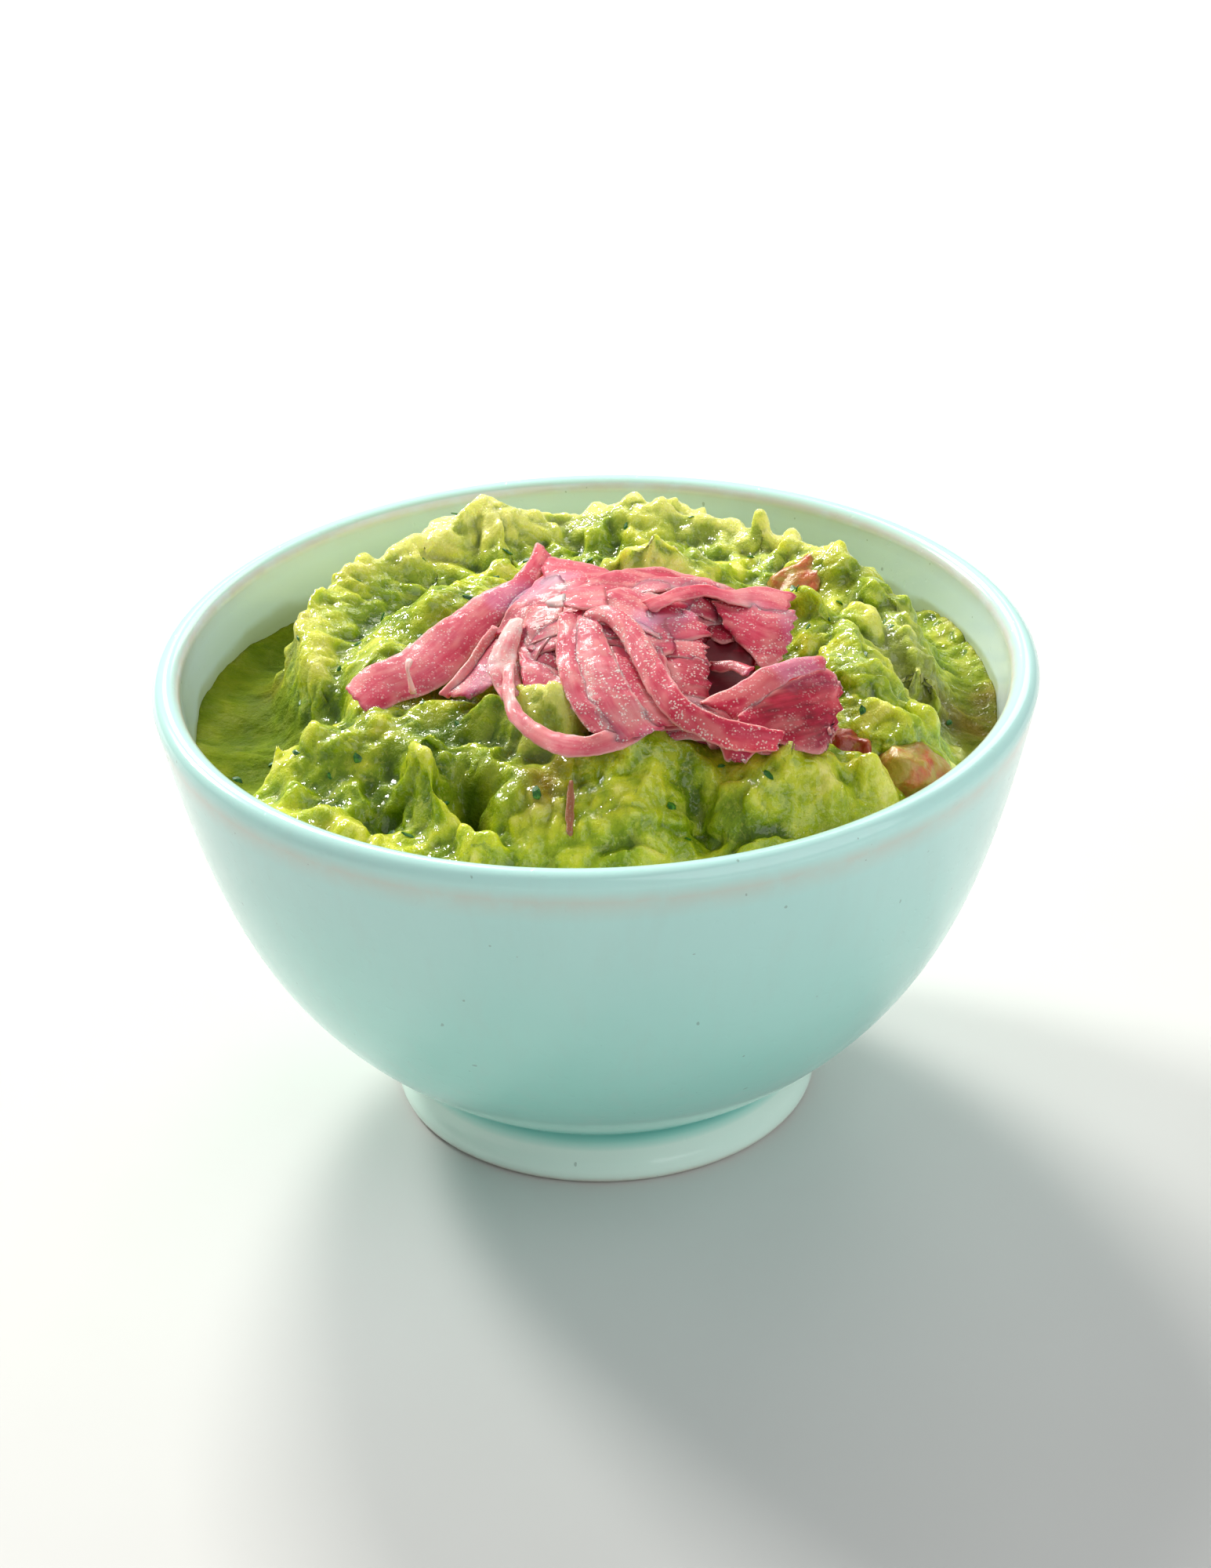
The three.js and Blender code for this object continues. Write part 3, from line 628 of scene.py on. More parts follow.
# Painted shade in the pockets between the boulders, darker and greener: x, y, radius, strength.
shades = [
    (-17.6, -38.6, 3.4, 0.95), (-16.6, -42.5, 3.0, 0.9), (-29.5, -39.0, 3.0, 0.6), (-21.0, -28.5, 5.5, 0.7),
    (-12.5, -43.0, 3.5, 0.3), (13.5, -47.5, 3.0, 0.3), (-27.0, -29.5, 4.0, 0.45), (1.0, 24.0, 6.0, 0.4),
    (-36.0, -8.0, 5.0, 0.35), (56.0, -6.0, 5.5, 0.6),
]

# Patches of paler flesh and painted light besides the crest: x, y, half-widths, strength.
paleFlesh = [(8, 12, 11, 3.5, 0.5), (-6, -31.5, 5.5, 5.5, 0.9), (46, -2, 6, 10, 0.9), (-16, 37, 7, 5, 1.3)]

# Flat-topped chunks near the surface: x, y, top, half-length, half-width, heading, tilt along and back.
blocks = [
    (33.8, -5.2, 79.7, 5.0, 3.2, -12, -0.05, 0.25),
    (37.5, -17.2, 79, 4.6, 3.4, -20, -0.12, 0.22),
    (39.5, -26.8, 75.4, 5.5, 3.8, -35, -0.12, 0.35),
    (36.4, 17.1, 78.6, 3, 2, -10, 0, 0.1),
    (44.7, 9.2, 76.6, 3.4, 2.6, -35, -0.1, 0.15),
    (39.2, 1.9, 77.8, 3, 2.6, -25, -0.1, 0.2),
    (-13.2, -43.1, 74.9, 2.4, 2.6, -60, 0, 0.4),
    (2.8, -47.1, 75.4, 6.5, 4.2, 5, 0, 0.45),
    (18.3, -45.1, 73.8, 3.8, 3, -10, 0, 0.45),
]


def seededDraws(seed, count):
    state = seed
    for _ in range(count):
        state = (state * 1664525 + 1013904223) % 4294967296
        yield state / 4294967296


def scatteredKnobs():
    draws = seededDraws(41, mash["knobs"] * 4)
    made = []
    for _ in range(mash["knobs"]):
        away, turn = 57 * math.sqrt(next(draws)), 2 * math.pi * next(draws)
        radius, height = 3 + 3 * next(draws), -0.9 + 2.1 * next(draws)
        made.append((away * math.cos(turn), away * math.sin(turn), radius, height))
    return made


def edgeLevel(angle):
    # the height at which the filling meets the wall
    front = smoothstep(-np.sin(angle), 0.3, 0.75)
    ripple = 1.2 * np.sin(2 * angle + 0.6) + 0.7 * np.sin(5 * angle)
    ripple += 0.22 * np.sin(17 * angle + 1.1) + 0.16 * np.sin(31 * angle + 0.4 + np.sin(7 * angle))
    level = mash["moatLevel"] + (mash["frontLevel"] - mash["moatLevel"]) * front
    return level + ripple


def turnedPlace(x, y, cx, cy, heading):
    # a place as seen from a point that faces along a heading: how far on and how far to its left
    turn = math.radians(heading)
    along = (x - cx) * math.cos(turn) + (y - cy) * math.sin(turn)
    across = (y - cy) * math.cos(turn) - (x - cx) * math.sin(turn)
    return along, across


def lumpHeight(lump, x, y):
    cx, cy, top, halfLength, halfWidth, heading = lump
    along, across = turnedPlace(x, y, cx, cy, heading)
    rounding = mash["lumpRound"]
    drop = np.sqrt((along / halfLength) ** 2 + (across / halfWidth) ** 2 + rounding ** 2) - rounding
    return top - mash["lumpFall"] * drop / (math.hypot(1, rounding) - rounding)


def smoothMax(a, b, blend):
    near = np.maximum(blend - np.abs(a - b), 0) / blend
    return np.maximum(a, b) + near * near * blend / 4


def gentleSlope(angle, side):
    # 1 in the middle of one of the longer slopes, falling off on each side of it
    heading, spread, _ = slopes[side]
    return np.exp(-((np.degrees(angle) - heading) / spread) ** 2)


def heapHeight(x, y):
    away = np.hypot(x, y)
    angle = np.arctan2(y, x)
    headings, reaches = zip(*moundOutline)
    outline = np.interp(np.degrees(angle), headings, reaches)
    level = edgeLevel(angle)
    edge = 47 - 7 * np.sin(angle) + 3 * np.cos(angle)
    top = mash["plateau"] + (level - mash["plateau"]) * smoothstep(away, edge - 12, edge + 3)
    turned = (np.degrees(angle) + 90) % 360 - 90
    headings, distances, heights = zip(*crest)
    inward = np.interp(turned, headings, distances) - away
    ridge = np.interp(turned, headings, heights, -50, -50)
    ridge = ridge - mash["crestFall"] * (np.hypot(inward / np.where(inward > 0, 7.0, 3.0), 0.6) - 0.6)
    top = smoothMax(top, ridge, mash["lumpBlend"])
    for lump in lumps:
        top = smoothMax(top, lumpHeight(lump, x, y), mash["lumpBlend"])
    for cx, cy, radius, height in scatteredKnobs() + hollows:
        share = np.hypot(x - cx, y - cy) / radius
        top = top + height * np.clip(1 - share ** 2, 0, 1) ** 2
    # the mound drops steeply into the moat, whose floor rises again to the wall
    rim = wallRadius(level)
    gap = np.clip((away - outline) / np.maximum(rim - outline, 1), 0, 1)
    moat = level - mash["moatDip"] * 4 * gap * (1 - gap)
    cliff = mash["cliff"]
    for side, (_, _, extra) in slopes.items():
        cliff = cliff + extra * gentleSlope(angle, side)
    drop = smoothstep(away, outline - cliff, outline + cliff)
    return top + (moat - top) * drop, drop


def warped(x, y):
    # a slow warp keeps the touches from looking drawn with a compass
    warpX = x + mash["warp"] * np.sin(y / 3.1 + 0.4 * np.sin(x / 4.3))
    warpY = y + mash["warp"] * np.sin(x / 2.7 + 0.5 * np.sin(y / 3.7))
    return warpX, warpY


def dabHeight(x, y):
    total = np.zeros_like(x)
    for cx, cy, rise, halfLength, halfWidth, heading, steep in dabs:
        along, across = turnedPlace(x, y, cx, cy, heading)
        along = along / halfLength
        across = across / halfWidth / (1 - steep * np.sign(across) * 0.6)
        total += rise * np.clip(1 - (along ** 2 + across ** 2) / 1.7, 0, 1) ** 1.6
    return total


def foldHeight(x, y):
    total = np.zeros_like(x)
    for path, rise, halfWidth, steep in folds:
        best = np.full(x.shape, 1e9)
        ridge = np.zeros_like(x)
        spans = list(zip(path, path[1:]))
        for k, ((ax, ay), (bx, by)) in enumerate(spans):
            dx, dy = bx - ax, by - ay
            share = np.clip(((x - ax) * dx + (y - ay) * dy) / (dx * dx + dy * dy), 0, 1)
            offX, offY = x - ax - share * dx, y - ay - share * dy
            right = (offX * dy - offY * dx) > 0
            away = np.hypot(offX, offY) / (halfWidth * np.where(right, 1 - steep, 1 + 0.5 * steep))
            along = (k + share) / len(spans)
            height = rise * (0.75 + 0.25 * np.sin(9 * along + ax)) * np.exp(-(away ** 1.7) * 1.3)
            ridge = np.where(away < best, height, ridge)
            best = np.minimum(best, away)
        total = np.maximum(total, ridge)
    return total


def blockHeight(block, x, y):
    cx, cy, top, halfLength, halfWidth, heading, tiltAlong, tiltBack = block
    along, back = turnedPlace(x, y, cx, cy, heading)
    reach = ((along / halfLength) ** 4 + (back / halfWidth) ** 4) ** 0.25
    return top + tiltAlong * along + tiltBack * back - 7 * np.maximum(reach - 0.6, 0) ** 1.5


def squareToDisc(count):
    # each point of a square grid as its share of the disc's radius and its angle
    line = np.linspace(-1, 1, count + 1)
    u, v = np.meshgrid(line, line)
    flat = np.abs(u) > np.abs(v)
    safeU = np.where(np.abs(u) < 1e-9, 1, u)
    safeV = np.where(np.abs(v) < 1e-9, 1, v)
    ring = np.where(flat, u, v)
    angle = np.where(flat, (np.pi / 4) * v / safeU, np.pi / 2 - (np.pi / 4) * u / safeV)
    angle = np.where(ring < 0, angle + np.pi, angle)
    return np.abs(ring).ravel(), angle.ravel()


mashForm = {
    "Chunk Size": 5.2,
    "Chunk Tilt": 0.62,
    "Chunk Crease": 0.45,
    "Lump Size": 8.0,
    "Lump Height": 0.9,
    "Knob Size": 2.9,
    "Knob Height": 0.8,
    "Fold Size": 12.0,
    "Fold Height": 1.9,
    "Pucker Size": 5.0,
    "Pucker Height": 0.85,
    "Wrinkle Size": 1.6,
    "Wrinkle Height": 0.4,
    "Seed": 3.0,
}


def mashMaterial():
    colours = mash["colours"]
    material, tree, shader = newMaterial("mashedAvocado", {
        "Specular IOR Level": 0.08, "Subsurface Weight": 0.6, "Subsurface Radius": (0.9, 1.0, 0.25),
        "Subsurface Scale": 0.0032, "Coat Weight": 0.6, "Coat Roughness": 0.04, "Coat IOR": 1.52,
    })
    place = objectPlace(tree)
    lump = attribute(tree, "lump")
    hollow = attribute(tree, "hollow")
    cloud = noiseOf(tree, place, 16, 3, 0.55)
    patch = noiseOf(tree, place, 4.5, 3, 0.6, 0.6)
    tone = plus(tree, times(tree, cloud, 0.55), times(tree, patch, 0.75))
    tone = plus(tree, tone, times(tree, minus(tree, lump, 0.95), 0.28))
    # painted shade: the tone is darker where the surface lies in a hollow
    relief = calc(tree, "MAXIMUM", hollow, -0.9)
    tone = minus(tree, tone, times(tree, relief, 0.13))
    body = colourRamp(tree, tone, colours["body"])
    # pale milky patches with torn edges: painted sheen of the wet film
    milk = noiseOf(tree, place, 3.6, 4, 0.62, 1.2)
    body = mixColour(tree, ramp(tree, milk, 0.54, 0.58, 0, 0.32), body, paint(*colours["milk"]))
    # pulpy freckles and stringy green threads
    fine = noiseOf(tree, place, 0.8, 2, 0.6)
    body = mixColour(tree, ramp(tree, fine, 0.58, 0.72, 0, 0.35), body, paint(*colours["freckle"]))
    thread = noiseOf(tree, place, 2.2, 4, 0.7, 1.5)
    body = mixColour(tree, ramp(tree, thread, 0.60, 0.70, 0, 0.5), body, paint(*colours["thread"]))
    # painted shade: the filling low against the wall is darker and duller, and so are the deep folds and the
    # pockets
    moat = attribute(tree, "moat")
    body = mixColour(tree, times(tree, moat, 0.8), body, paint(*colours["moat"]))
    shade = attribute(tree, "shade")
    deep = calc(tree, "MAXIMUM", ramp(tree, hollow, 0.6, 2.0, 0, 0.5), shade)
    body = mixColour(tree, deep, body, paint(*colours["deep"]))
    # paler flesh and painted light along the crest and in patches
    flesh = times(tree, attribute(tree, "flesh"), ramp(tree, tone, 0.34, 0.58, 0.3, 1.0))
    body = mixColour(tree, flesh, body, paint(*colours["flesh"]))
    # brown tinges, and painted shade low by the wall at the right
    tinge = times(tree, attribute(tree, "stain"), ramp(tree, patch, 0.3, 0.6, 0.5, 1.0))
    body = mixColour(tree, times(tree, tinge, 0.85), body, paint(*colours["tinge"]))
    tree.links.new(body, shader.inputs["Base Color"])
    wet = noiseOf(tree, place, 6, 3, 0.6)
    rough = ramp(tree, wet, 0.35, 0.65, 0.26, 0.5)
    rough = plus(tree, rough, times(tree, moat, 0.4), clamp=True)
    tree.links.new(rough, shader.inputs["Roughness"])
    dull = calc(tree, "MAXIMUM", moat, times(tree, shade, 0.75))
    wetness = times(tree, minus(tree, 1.0, dull), 0.8)
    tree.links.new(wetness, shader.inputs["Coat Weight"])
    pulp = noiseOf(tree, place, 1.3, 3, 0.6)
    pulp = plus(tree, pulp, times(tree, noiseOf(tree, place, 0.45, 2, 0.6), 0.35))
    addBump(tree, shader, pulp, 0.55)
    # the wet film over it breaks its highlights into small patches
    film = noiseOf(tree, place, 1.8, 1.6, 0.4, 0.4)
    addBump(tree, shader, film, 0.9, "Coat Normal")
    return material


def mashSurfaceTree(material):
    tree, given = newTree("mashSurface", mashForm)
    geometry = given["Geometry"]
    position = addNode(tree, "GeometryNodeInputPosition").outputs[0]
    normal = addNode(tree, "GeometryNodeInputNormal").outputs[0]
    shift = addNode(tree, "ShaderNodeCombineXYZ", {0: given["Seed"], 1: given["Seed"], 2: given["Seed"]})
    place = calcVector(tree, "ADD", position, shift.outputs[0])

    def perMillimetre(size):
        return calc(tree, "DIVIDE", 1000.0, size)

    def sweep(vector, size, detail, roughness, distortion, output):
        inputs = {
            "Vector": vector, "Scale": perMillimetre(size), "Detail": detail,
            "Roughness": roughness, "Distortion": distortion,
        }
        return addNode(tree, "ShaderNodeTexNoise", inputs).outputs[output]

    def cells(vector, size, softness):
        inputs = {"Vector": vector, "Scale": perMillimetre(size), "Smoothness": softness}
        node = addNode(tree, "ShaderNodeTexVoronoi", inputs, feature="SMOOTH_F1")
        return node.outputs["Distance"], node.outputs["Color"]

    drift = calcVector(tree, "SUBTRACT", sweep(place, 9.0, 2.0, 0.5, 0.0, "Color"), (0.5, 0.5, 0.5))
    folded = calcVector(tree, "ADD", place, scaled(tree, drift, 0.007))
    chunky = ramp(tree, sweep(place, 17.0, 1.0, 0.5, 0.0, "Fac"), 0.38, 0.62, 0.25, 1.0)
    distance, _ = cells(folded, given["Lump Size"], 0.25)
    lump = ramp(tree, distance, 0.75, 0.1)
    total = times(tree, minus(tree, lump, 0.5), given["Lump Height"])
    distance, _ = cells(folded, given["Knob Size"], 0.2)
    knob = minus(tree, ramp(tree, distance, 0.75, 0.1), 0.5)
    knobs = times(tree, times(tree, knob, given["Knob Height"]), chunky)
    total = plus(tree, total, knobs)
    # folds are rounded ridges with broad smooth valleys between them
    for size, height in (("Fold Size", "Fold Height"), ("Pucker Size", "Pucker Height")):
        swell = sweep(folded, given[size], 1.0, 0.5, 0.5, "Fac")
        swell = minus(tree, times(tree, swell, 2.0), 1.0)
        swell = calc(tree, "SQRT", plus(tree, times(tree, swell, swell), 0.002))
        swell = minus(tree, 0.17, swell)
        total = plus(tree, total, times(tree, swell, given[height]))
    # cut chunks: each cell is a tilted facet with a crease round it
    cut = {"Vector": folded, "Scale": perMillimetre(given["Chunk Size"])}
    facet = addNode(tree, "ShaderNodeTexVoronoi", cut, feature="F1")
    aside = calcVector(tree, "SUBTRACT", folded, facet.outputs["Position"])
    tilt = calcVector(tree, "SUBTRACT", facet.outputs["Color"], (0.5, 0.5, 0.5))
    facetHeight = times(tree, calcVector(tree, "DOT_PRODUCT", aside, tilt, output=1), 1000.0)
    border = addNode(tree, "ShaderNodeTexVoronoi", cut, feature="DISTANCE_TO_EDGE").outputs["Distance"]
    crease = times(tree, ramp(tree, border, 0.0, 0.14, -1.0, 0.0), given["Chunk Crease"])
    chunk = plus(tree, times(tree, facetHeight, given["Chunk Tilt"]), crease)
    chunk = addNode(
        tree, "GeometryNodeBlurAttribute", {"Value": chunk, "Iterations": 3}, data_type="FLOAT",
    ).outputs[0]
    total = plus(tree, total, times(tree, chunk, stored(tree, "cut")))
    wrinkle = minus(tree, sweep(folded, given["Wrinkle Size"], 3.0, 0.6, 0.4, "Fac"), 0.5)
    total = plus(tree, total, times(tree, wrinkle, given["Wrinkle Height"]))
    rise = times(tree, times(tree, total, stored(tree, "free")), mm)
    moved = addNode(
        tree, "GeometryNodeSetPosition", {"Geometry": geometry, "Offset": scaled(tree, normal, rise)},
    ).outputs[0]

    def hollowness(iterations):
        blur = addNode(
            tree, "GeometryNodeBlurAttribute", {"Value": position, "Iterations": iterations},
            data_type="FLOAT_VECTOR",
        )
        apart = calcVector(tree, "SUBTRACT", blur.outputs[0], position)
        return times(tree, calcVector(tree, "DOT_PRODUCT", apart, normal, output=1), 1000.0)

    # how deep each point lies among its neighbours, in millimetres, near and wide
    near = times(tree, hollowness(8), 2.2)
    wide = times(tree, hollowness(90), 0.9)
    depth = plus(tree, near, wide)
    for name, value in (("lump", lump), ("hollow", depth)):
        moved = addNode(
            tree, "GeometryNodeStoreNamedAttribute", {"Geometry": moved, "Name": name, "Value": value},
            data_type="FLOAT", domain="POINT",
        ).outputs[0]
    finishTree(tree, moved, material)
    return tree


def blurredGrid(values, count, rounds):
    grid = values.reshape(count + 1, count + 1)
    for _ in range(rounds):
        wide = np.pad(grid, 1, mode="edge")
        grid = (wide[:-2, 1:-1] + wide[2:, 1:-1] + wide[1:-1, :-2] + wide[1:-1, 2:]) / 4
    return grid.ravel()


def mashTop(share, angle):
    # the heap's surface over a grid given as shares of the radius and angles
    level = edgeLevel(angle)
    radius = share * (wallRadius(level) + mash["intoWall"])
    x, y = radius * np.cos(angle), radius * np.sin(angle)
    z, moat = heapHeight(x, y)
    warpX, warpY = warped(x, y)
    z = z + (dabHeight(warpX, warpY) + foldHeight(warpX, warpY)) * (1 - moat)
    for block in blocks:
        z = smoothMax(z, blockHeight(block, warpX, warpY) - 0.5 - 14 * moat, 1.6)
    z = z + (level - z) * smoothstep(share, 0.955, 1.0)
    # the cliff is smoothed, so that the lumps above it leave no flutes down its face
    z = z + (blurredGrid(z, mash["grid"], 24) - z) * smoothstep(moat, 0.03, 0.3)
    return x, y, z, moat


def nearSpot(x, y, spot):
    # a spot's strength in its middle, falling off round it
    cx, cy, reach, amount = spot
    return amount * np.exp(-(((x - cx) ** 2 + (y - cy) ** 2) / reach ** 2))


def mashMasks(x, y, share, angle, moat):
    # how far the fine relief may move the surface, and where it is sunk, stained or in painted shade, chunky,
    # or pale with flesh and painted light
    flat = smoothstep(moat, 0.75, 1.0) * (1 - 0.6 * gentleSlope(angle, "right"))
    free = (1 - 0.62 * flat) * (1 - smoothstep(share, 0.99, 1.0) * 0.6)
    for spot in calm:
        free = free * (1 - nearSpot(x, y, spot))
    chunky = np.maximum(0.8 * smoothstep(x, 18, 30), smoothstep(y, 4, 20)) * (1 - moat)
    # paler flesh and painted light on the crest, most at the back
    onCrest = np.exp(-((np.hypot(x, y) - 42) / 5) ** 2) * smoothstep(y, -14, 2)
    flesh = (0.12 + 0.88 * smoothstep(y, 20, 33)) * onCrest
    for cx, cy, halfX, halfY, amount in paleFlesh:
        flesh = np.maximum(flesh, amount * np.exp(-((x - cx) / halfX) ** 2 - ((y - cy) / halfY) ** 2))
    return {
        "free": free,
        "moat": smoothstep(moat, 0.55, 1.0) * (1 - 0.55 * gentleSlope(angle, "right")),
        "stain": np.maximum.reduce([nearSpot(x, y, spot) for spot in stains]),
        "shade": np.maximum.reduce([nearSpot(x, y, spot) for spot in shades]),
        "cut": 0.3 + 0.7 * chunky,
        "flesh": flesh * (1 - moat),
    }


def closeBelow(points, faces, rim):
    # rings down the inside of the bowl, and one point on its floor
    previous = rim
    for part in mash["lowerRings"]:
        ring = []
        for index in rim:
            x, y, z = points[index]
            height = z + (mash["floor"] - z) * part
            away = wallRadius(height) + mash["intoWall"]
            turn = math.atan2(y, x)
            points.append((away * math.cos(turn), away * math.sin(turn), height))
            ring.append(len(points) - 1)
        for k in range(len(ring)):
            m = (k + 1) % len(ring)
            faces.append((previous[k], ring[k], ring[m], previous[m]))
        previous = ring
    points.append((0, 0, mash["floor"]))
    for k in range(len(previous)):
        faces.append((previous[k], len(points) - 1, previous[(k + 1) % len(previous)]))


def keepInside(piece):
    # nothing passes through the wall or the floor
    points = np.empty(len(piece.data.vertices) * 3)
    piece.data.vertices.foreach_get("co", points)
    points = points.reshape(-1, 3) / mm
    away = np.maximum(np.hypot(points[:, 0], points[:, 1]), 1e-6)
    pull = np.minimum((wallRadius(points[:, 2]) + mash["intoWall"]) / away, 1)
    points[:, :2] *= pull[:, None]
    points[:, 2] = np.maximum(points[:, 2], mash["floor"])
    piece.data.vertices.foreach_set("co", (points * mm).ravel())
    piece.data.update()


def makeMash():
    count = mash["grid"]
    share, angle = squareToDisc(count)
    # more rows of the grid run down the cliff
    fromCliff = share - mash["cliffShare"]
    share = share - 0.03 * np.sin(2 * np.pi * fromCliff / 0.36) * np.exp(-(fromCliff / 0.12) ** 2)
    x, y, z, moat = mashTop(share, angle)
    points = list(zip(x, y, z))
    side = count + 1
    faces = []
    for j in range(count):
        for i in range(count):
            a = j * side + i
            faces.append((a, a + 1, a + side + 1, a + side))
    rim = [i for i in range(count)] + [j * side + count for j in range(count)]
    rim += [count * side + i for i in range(count, 0, -1)] + [j * side for j in range(count, 0, -1)]
    closeBelow(points, faces, rim)
    piece = newPiece("mashedAvocado", np.array(points) * mm, faces)
    below = np.zeros(len(points) - len(x))
    for name, values in mashMasks(x, y, share, angle, moat).items():
        setAttribute(piece, name, np.concatenate([values, below]))
    applyTree(piece, mashSurfaceTree(mashMaterial()), mashForm)
    keepInside(piece)
    keep(piece, "guacamole")
    return piece


herb = {
    # x, y of the flecks that catch the eye; the rest are scattered within the reach
    "chosen": [
        (-52.4, -15.9), (-43.5, -3.0), (-35.0, 4.5), (-9.5, 27.0), (-24.5, -21.5), (-19.5, -26.0),
        (-25.6, -33.5), (-37.5, -30.5), (-21.0, -40.0), (-29.0, -40.5), (-26.0, -45.0), (-8.5, -45.0),
        (31.0, -4.5), (35.0, -13.5), (46.5, -13.0), (37.5, -25.5), (10.0, -46.5), (12.0, -49.5),
        (17.0, -40.0), (43.0, 5.0), (29.5, 4.0), (29.8, 1.0),
    ],
    "scattered": 70,
    "reach": 51.0,
    # no scattered ones under the onion
    "bareCentre": (0.0, -19.0),
    "bareHalf": (36.0, 29.0),
    # a shard's outline and thickness
    "outline": [
        (-1.0, -0.25), (-0.35, -0.5), (0.4, -0.42), (1.05, -0.1), (0.7, 0.35), (0.1, 0.55), (-0.6, 0.38),
    ],
    "thickness": 0.16,
    "colours": {
        "leaf": [(0.0, (18, 78, 14)), (0.6, (36, 108, 22)), (1.0, (80, 142, 38))],
        "bluish": (18, 92, 36),
    },
}

herbForm = {"Least Size": 0.6, "Most Size": 1.25, "Seed": 12}


def herbMaterial():
    colours = herb["colours"]
    material, tree, shader = newMaterial("choppedHerb", {
        "Roughness": 0.4, "Subsurface Weight": 0.1, "Subsurface Radius": (0.3, 1.0, 0.2),
        "Subsurface Scale": 0.0006, "Coat Weight": 0.1, "Coat Roughness": 0.2,
    })
    place = objectPlace(tree)
    vein = noiseOf(tree, place, 0.7, 3, 0.6)
    spot = noiseOf(tree, place, 7, 1, 0.5)
    leaf = colourRamp(tree, ramp(tree, vein, 0.3, 0.7), colours["leaf"])
    leaf = mixColour(tree, ramp(tree, spot, 0.45, 0.6, 0, 0.3), leaf, paint(*colours["bluish"]))
    tree.links.new(leaf, shader.inputs["Base Color"])
    addBump(tree, shader, vein, 0.1)
    return material


def leafShard():
    # a snipped bit of leaf, about 2 mm long, crumpled and solid
    top = [(x, y, 0.12 * math.sin(3 * x) + 0.18 * y) for x, y in herb["outline"]]
    low = [(x, y, z - herb["thickness"]) for x, y, z in top]
    centre = [(0.05, 0.02, 0.22), (0.05, 0.02, -0.02)]
    count = len(top)
    faces = []
    for k in range(count):
        m = (k + 1) % count
        faces.append((k, m, 2 * count))
        faces.append((count + m, count + k, 2 * count + 1))
        faces.append((m, k, count + k, count + m))
    return newPiece("leafShard", np.array(top + low + centre) * mm, faces, smooth=False)


def herbTree(material, shard):
    tree, given = newTree("herbFlecks", herbForm)
    lean = {"Vector": stored(tree, "lean", "FLOAT_VECTOR")}
    upright = addNode(tree, "FunctionNodeAlignRotationToVector", lean, axis="Z").outputs[0]
    spin = addNode(
        tree, "FunctionNodeRandomValue", {"Seed": given["Seed"], 0: (-0.6, -0.5, 0.0), 1: (0.6, 0.5, 6.28)},
        data_type="FLOAT_VECTOR",
    ).outputs[0]
    turned = addNode(
        tree, "FunctionNodeRotateRotation", {"Rotation": upright, "Rotate By": spin}, rotation_space="LOCAL",
    ).outputs[0]
    size = addNode(
        tree, "FunctionNodeRandomValue",
        {2: given["Least Size"], 3: given["Most Size"], "Seed": plus(tree, given["Seed"], 1.0)},
        data_type="FLOAT",
    ).outputs[1]
    leaf = addNode(tree, "GeometryNodeObjectInfo", {"Object": shard, "As Instance": True}).outputs["Geometry"]
    flecks = addNode(tree, "GeometryNodeInstanceOnPoints", {
        "Points": given["Geometry"], "Instance": leaf, "Rotation": turned, "Scale": size,
    }).outputs[0]
    finishTree(tree, flecks, material)
    return tree


def surfaceOf(piece):
    faces = [tuple(p.vertices) for p in piece.data.polygons]
    return BVHTree.FromPolygons([v.co for v in piece.data.vertices], faces)


def dropOn(surface, x, y):
    # where a thing dropped at x, y lands, and how the surface lies there
    spot, normal, _, _ = surface.ray_cast(Vector((x * mm, y * mm, 0.12)), Vector((0, 0, -1)))
    return spot, normal


def makeHerb(surface):
    draw = random.Random(5)
    places = list(herb["chosen"])
    golden = math.pi * (3 - math.sqrt(5))
    for k in range(herb["scattered"]):
        away = herb["reach"] * math.sqrt((k + 0.5) / herb["scattered"])
        x = away * math.cos(k * golden) + draw.uniform(-2, 2)
        y = away * math.sin(k * golden) + draw.uniform(-2, 2)
        cx, cy = herb["bareCentre"]
        halfX, halfY = herb["bareHalf"]
        if math.hypot((x - cx) / halfX, (y - cy) / halfY) > 1:
            places.append((x, y))
    points, leans = [], []
    for x, y in places:
        spot, normal = dropOn(surface, x, y)
        if spot:
            points.append(spot + normal * 0.05 * mm)
            leans.append(normal)
    piece = newPiece("choppedHerb", points, [])
    layer = piece.data.attributes.new("lean", "FLOAT_VECTOR", "POINT")
    layer.data.foreach_set("vector", np.array(leans, dtype=np.float32).ravel())
    shard = leafShard()
    applyTree(piece, herbTree(herbMaterial(), shard), herbForm)
    bpy.data.objects.remove(shard)
    keep(piece, "guacamole")


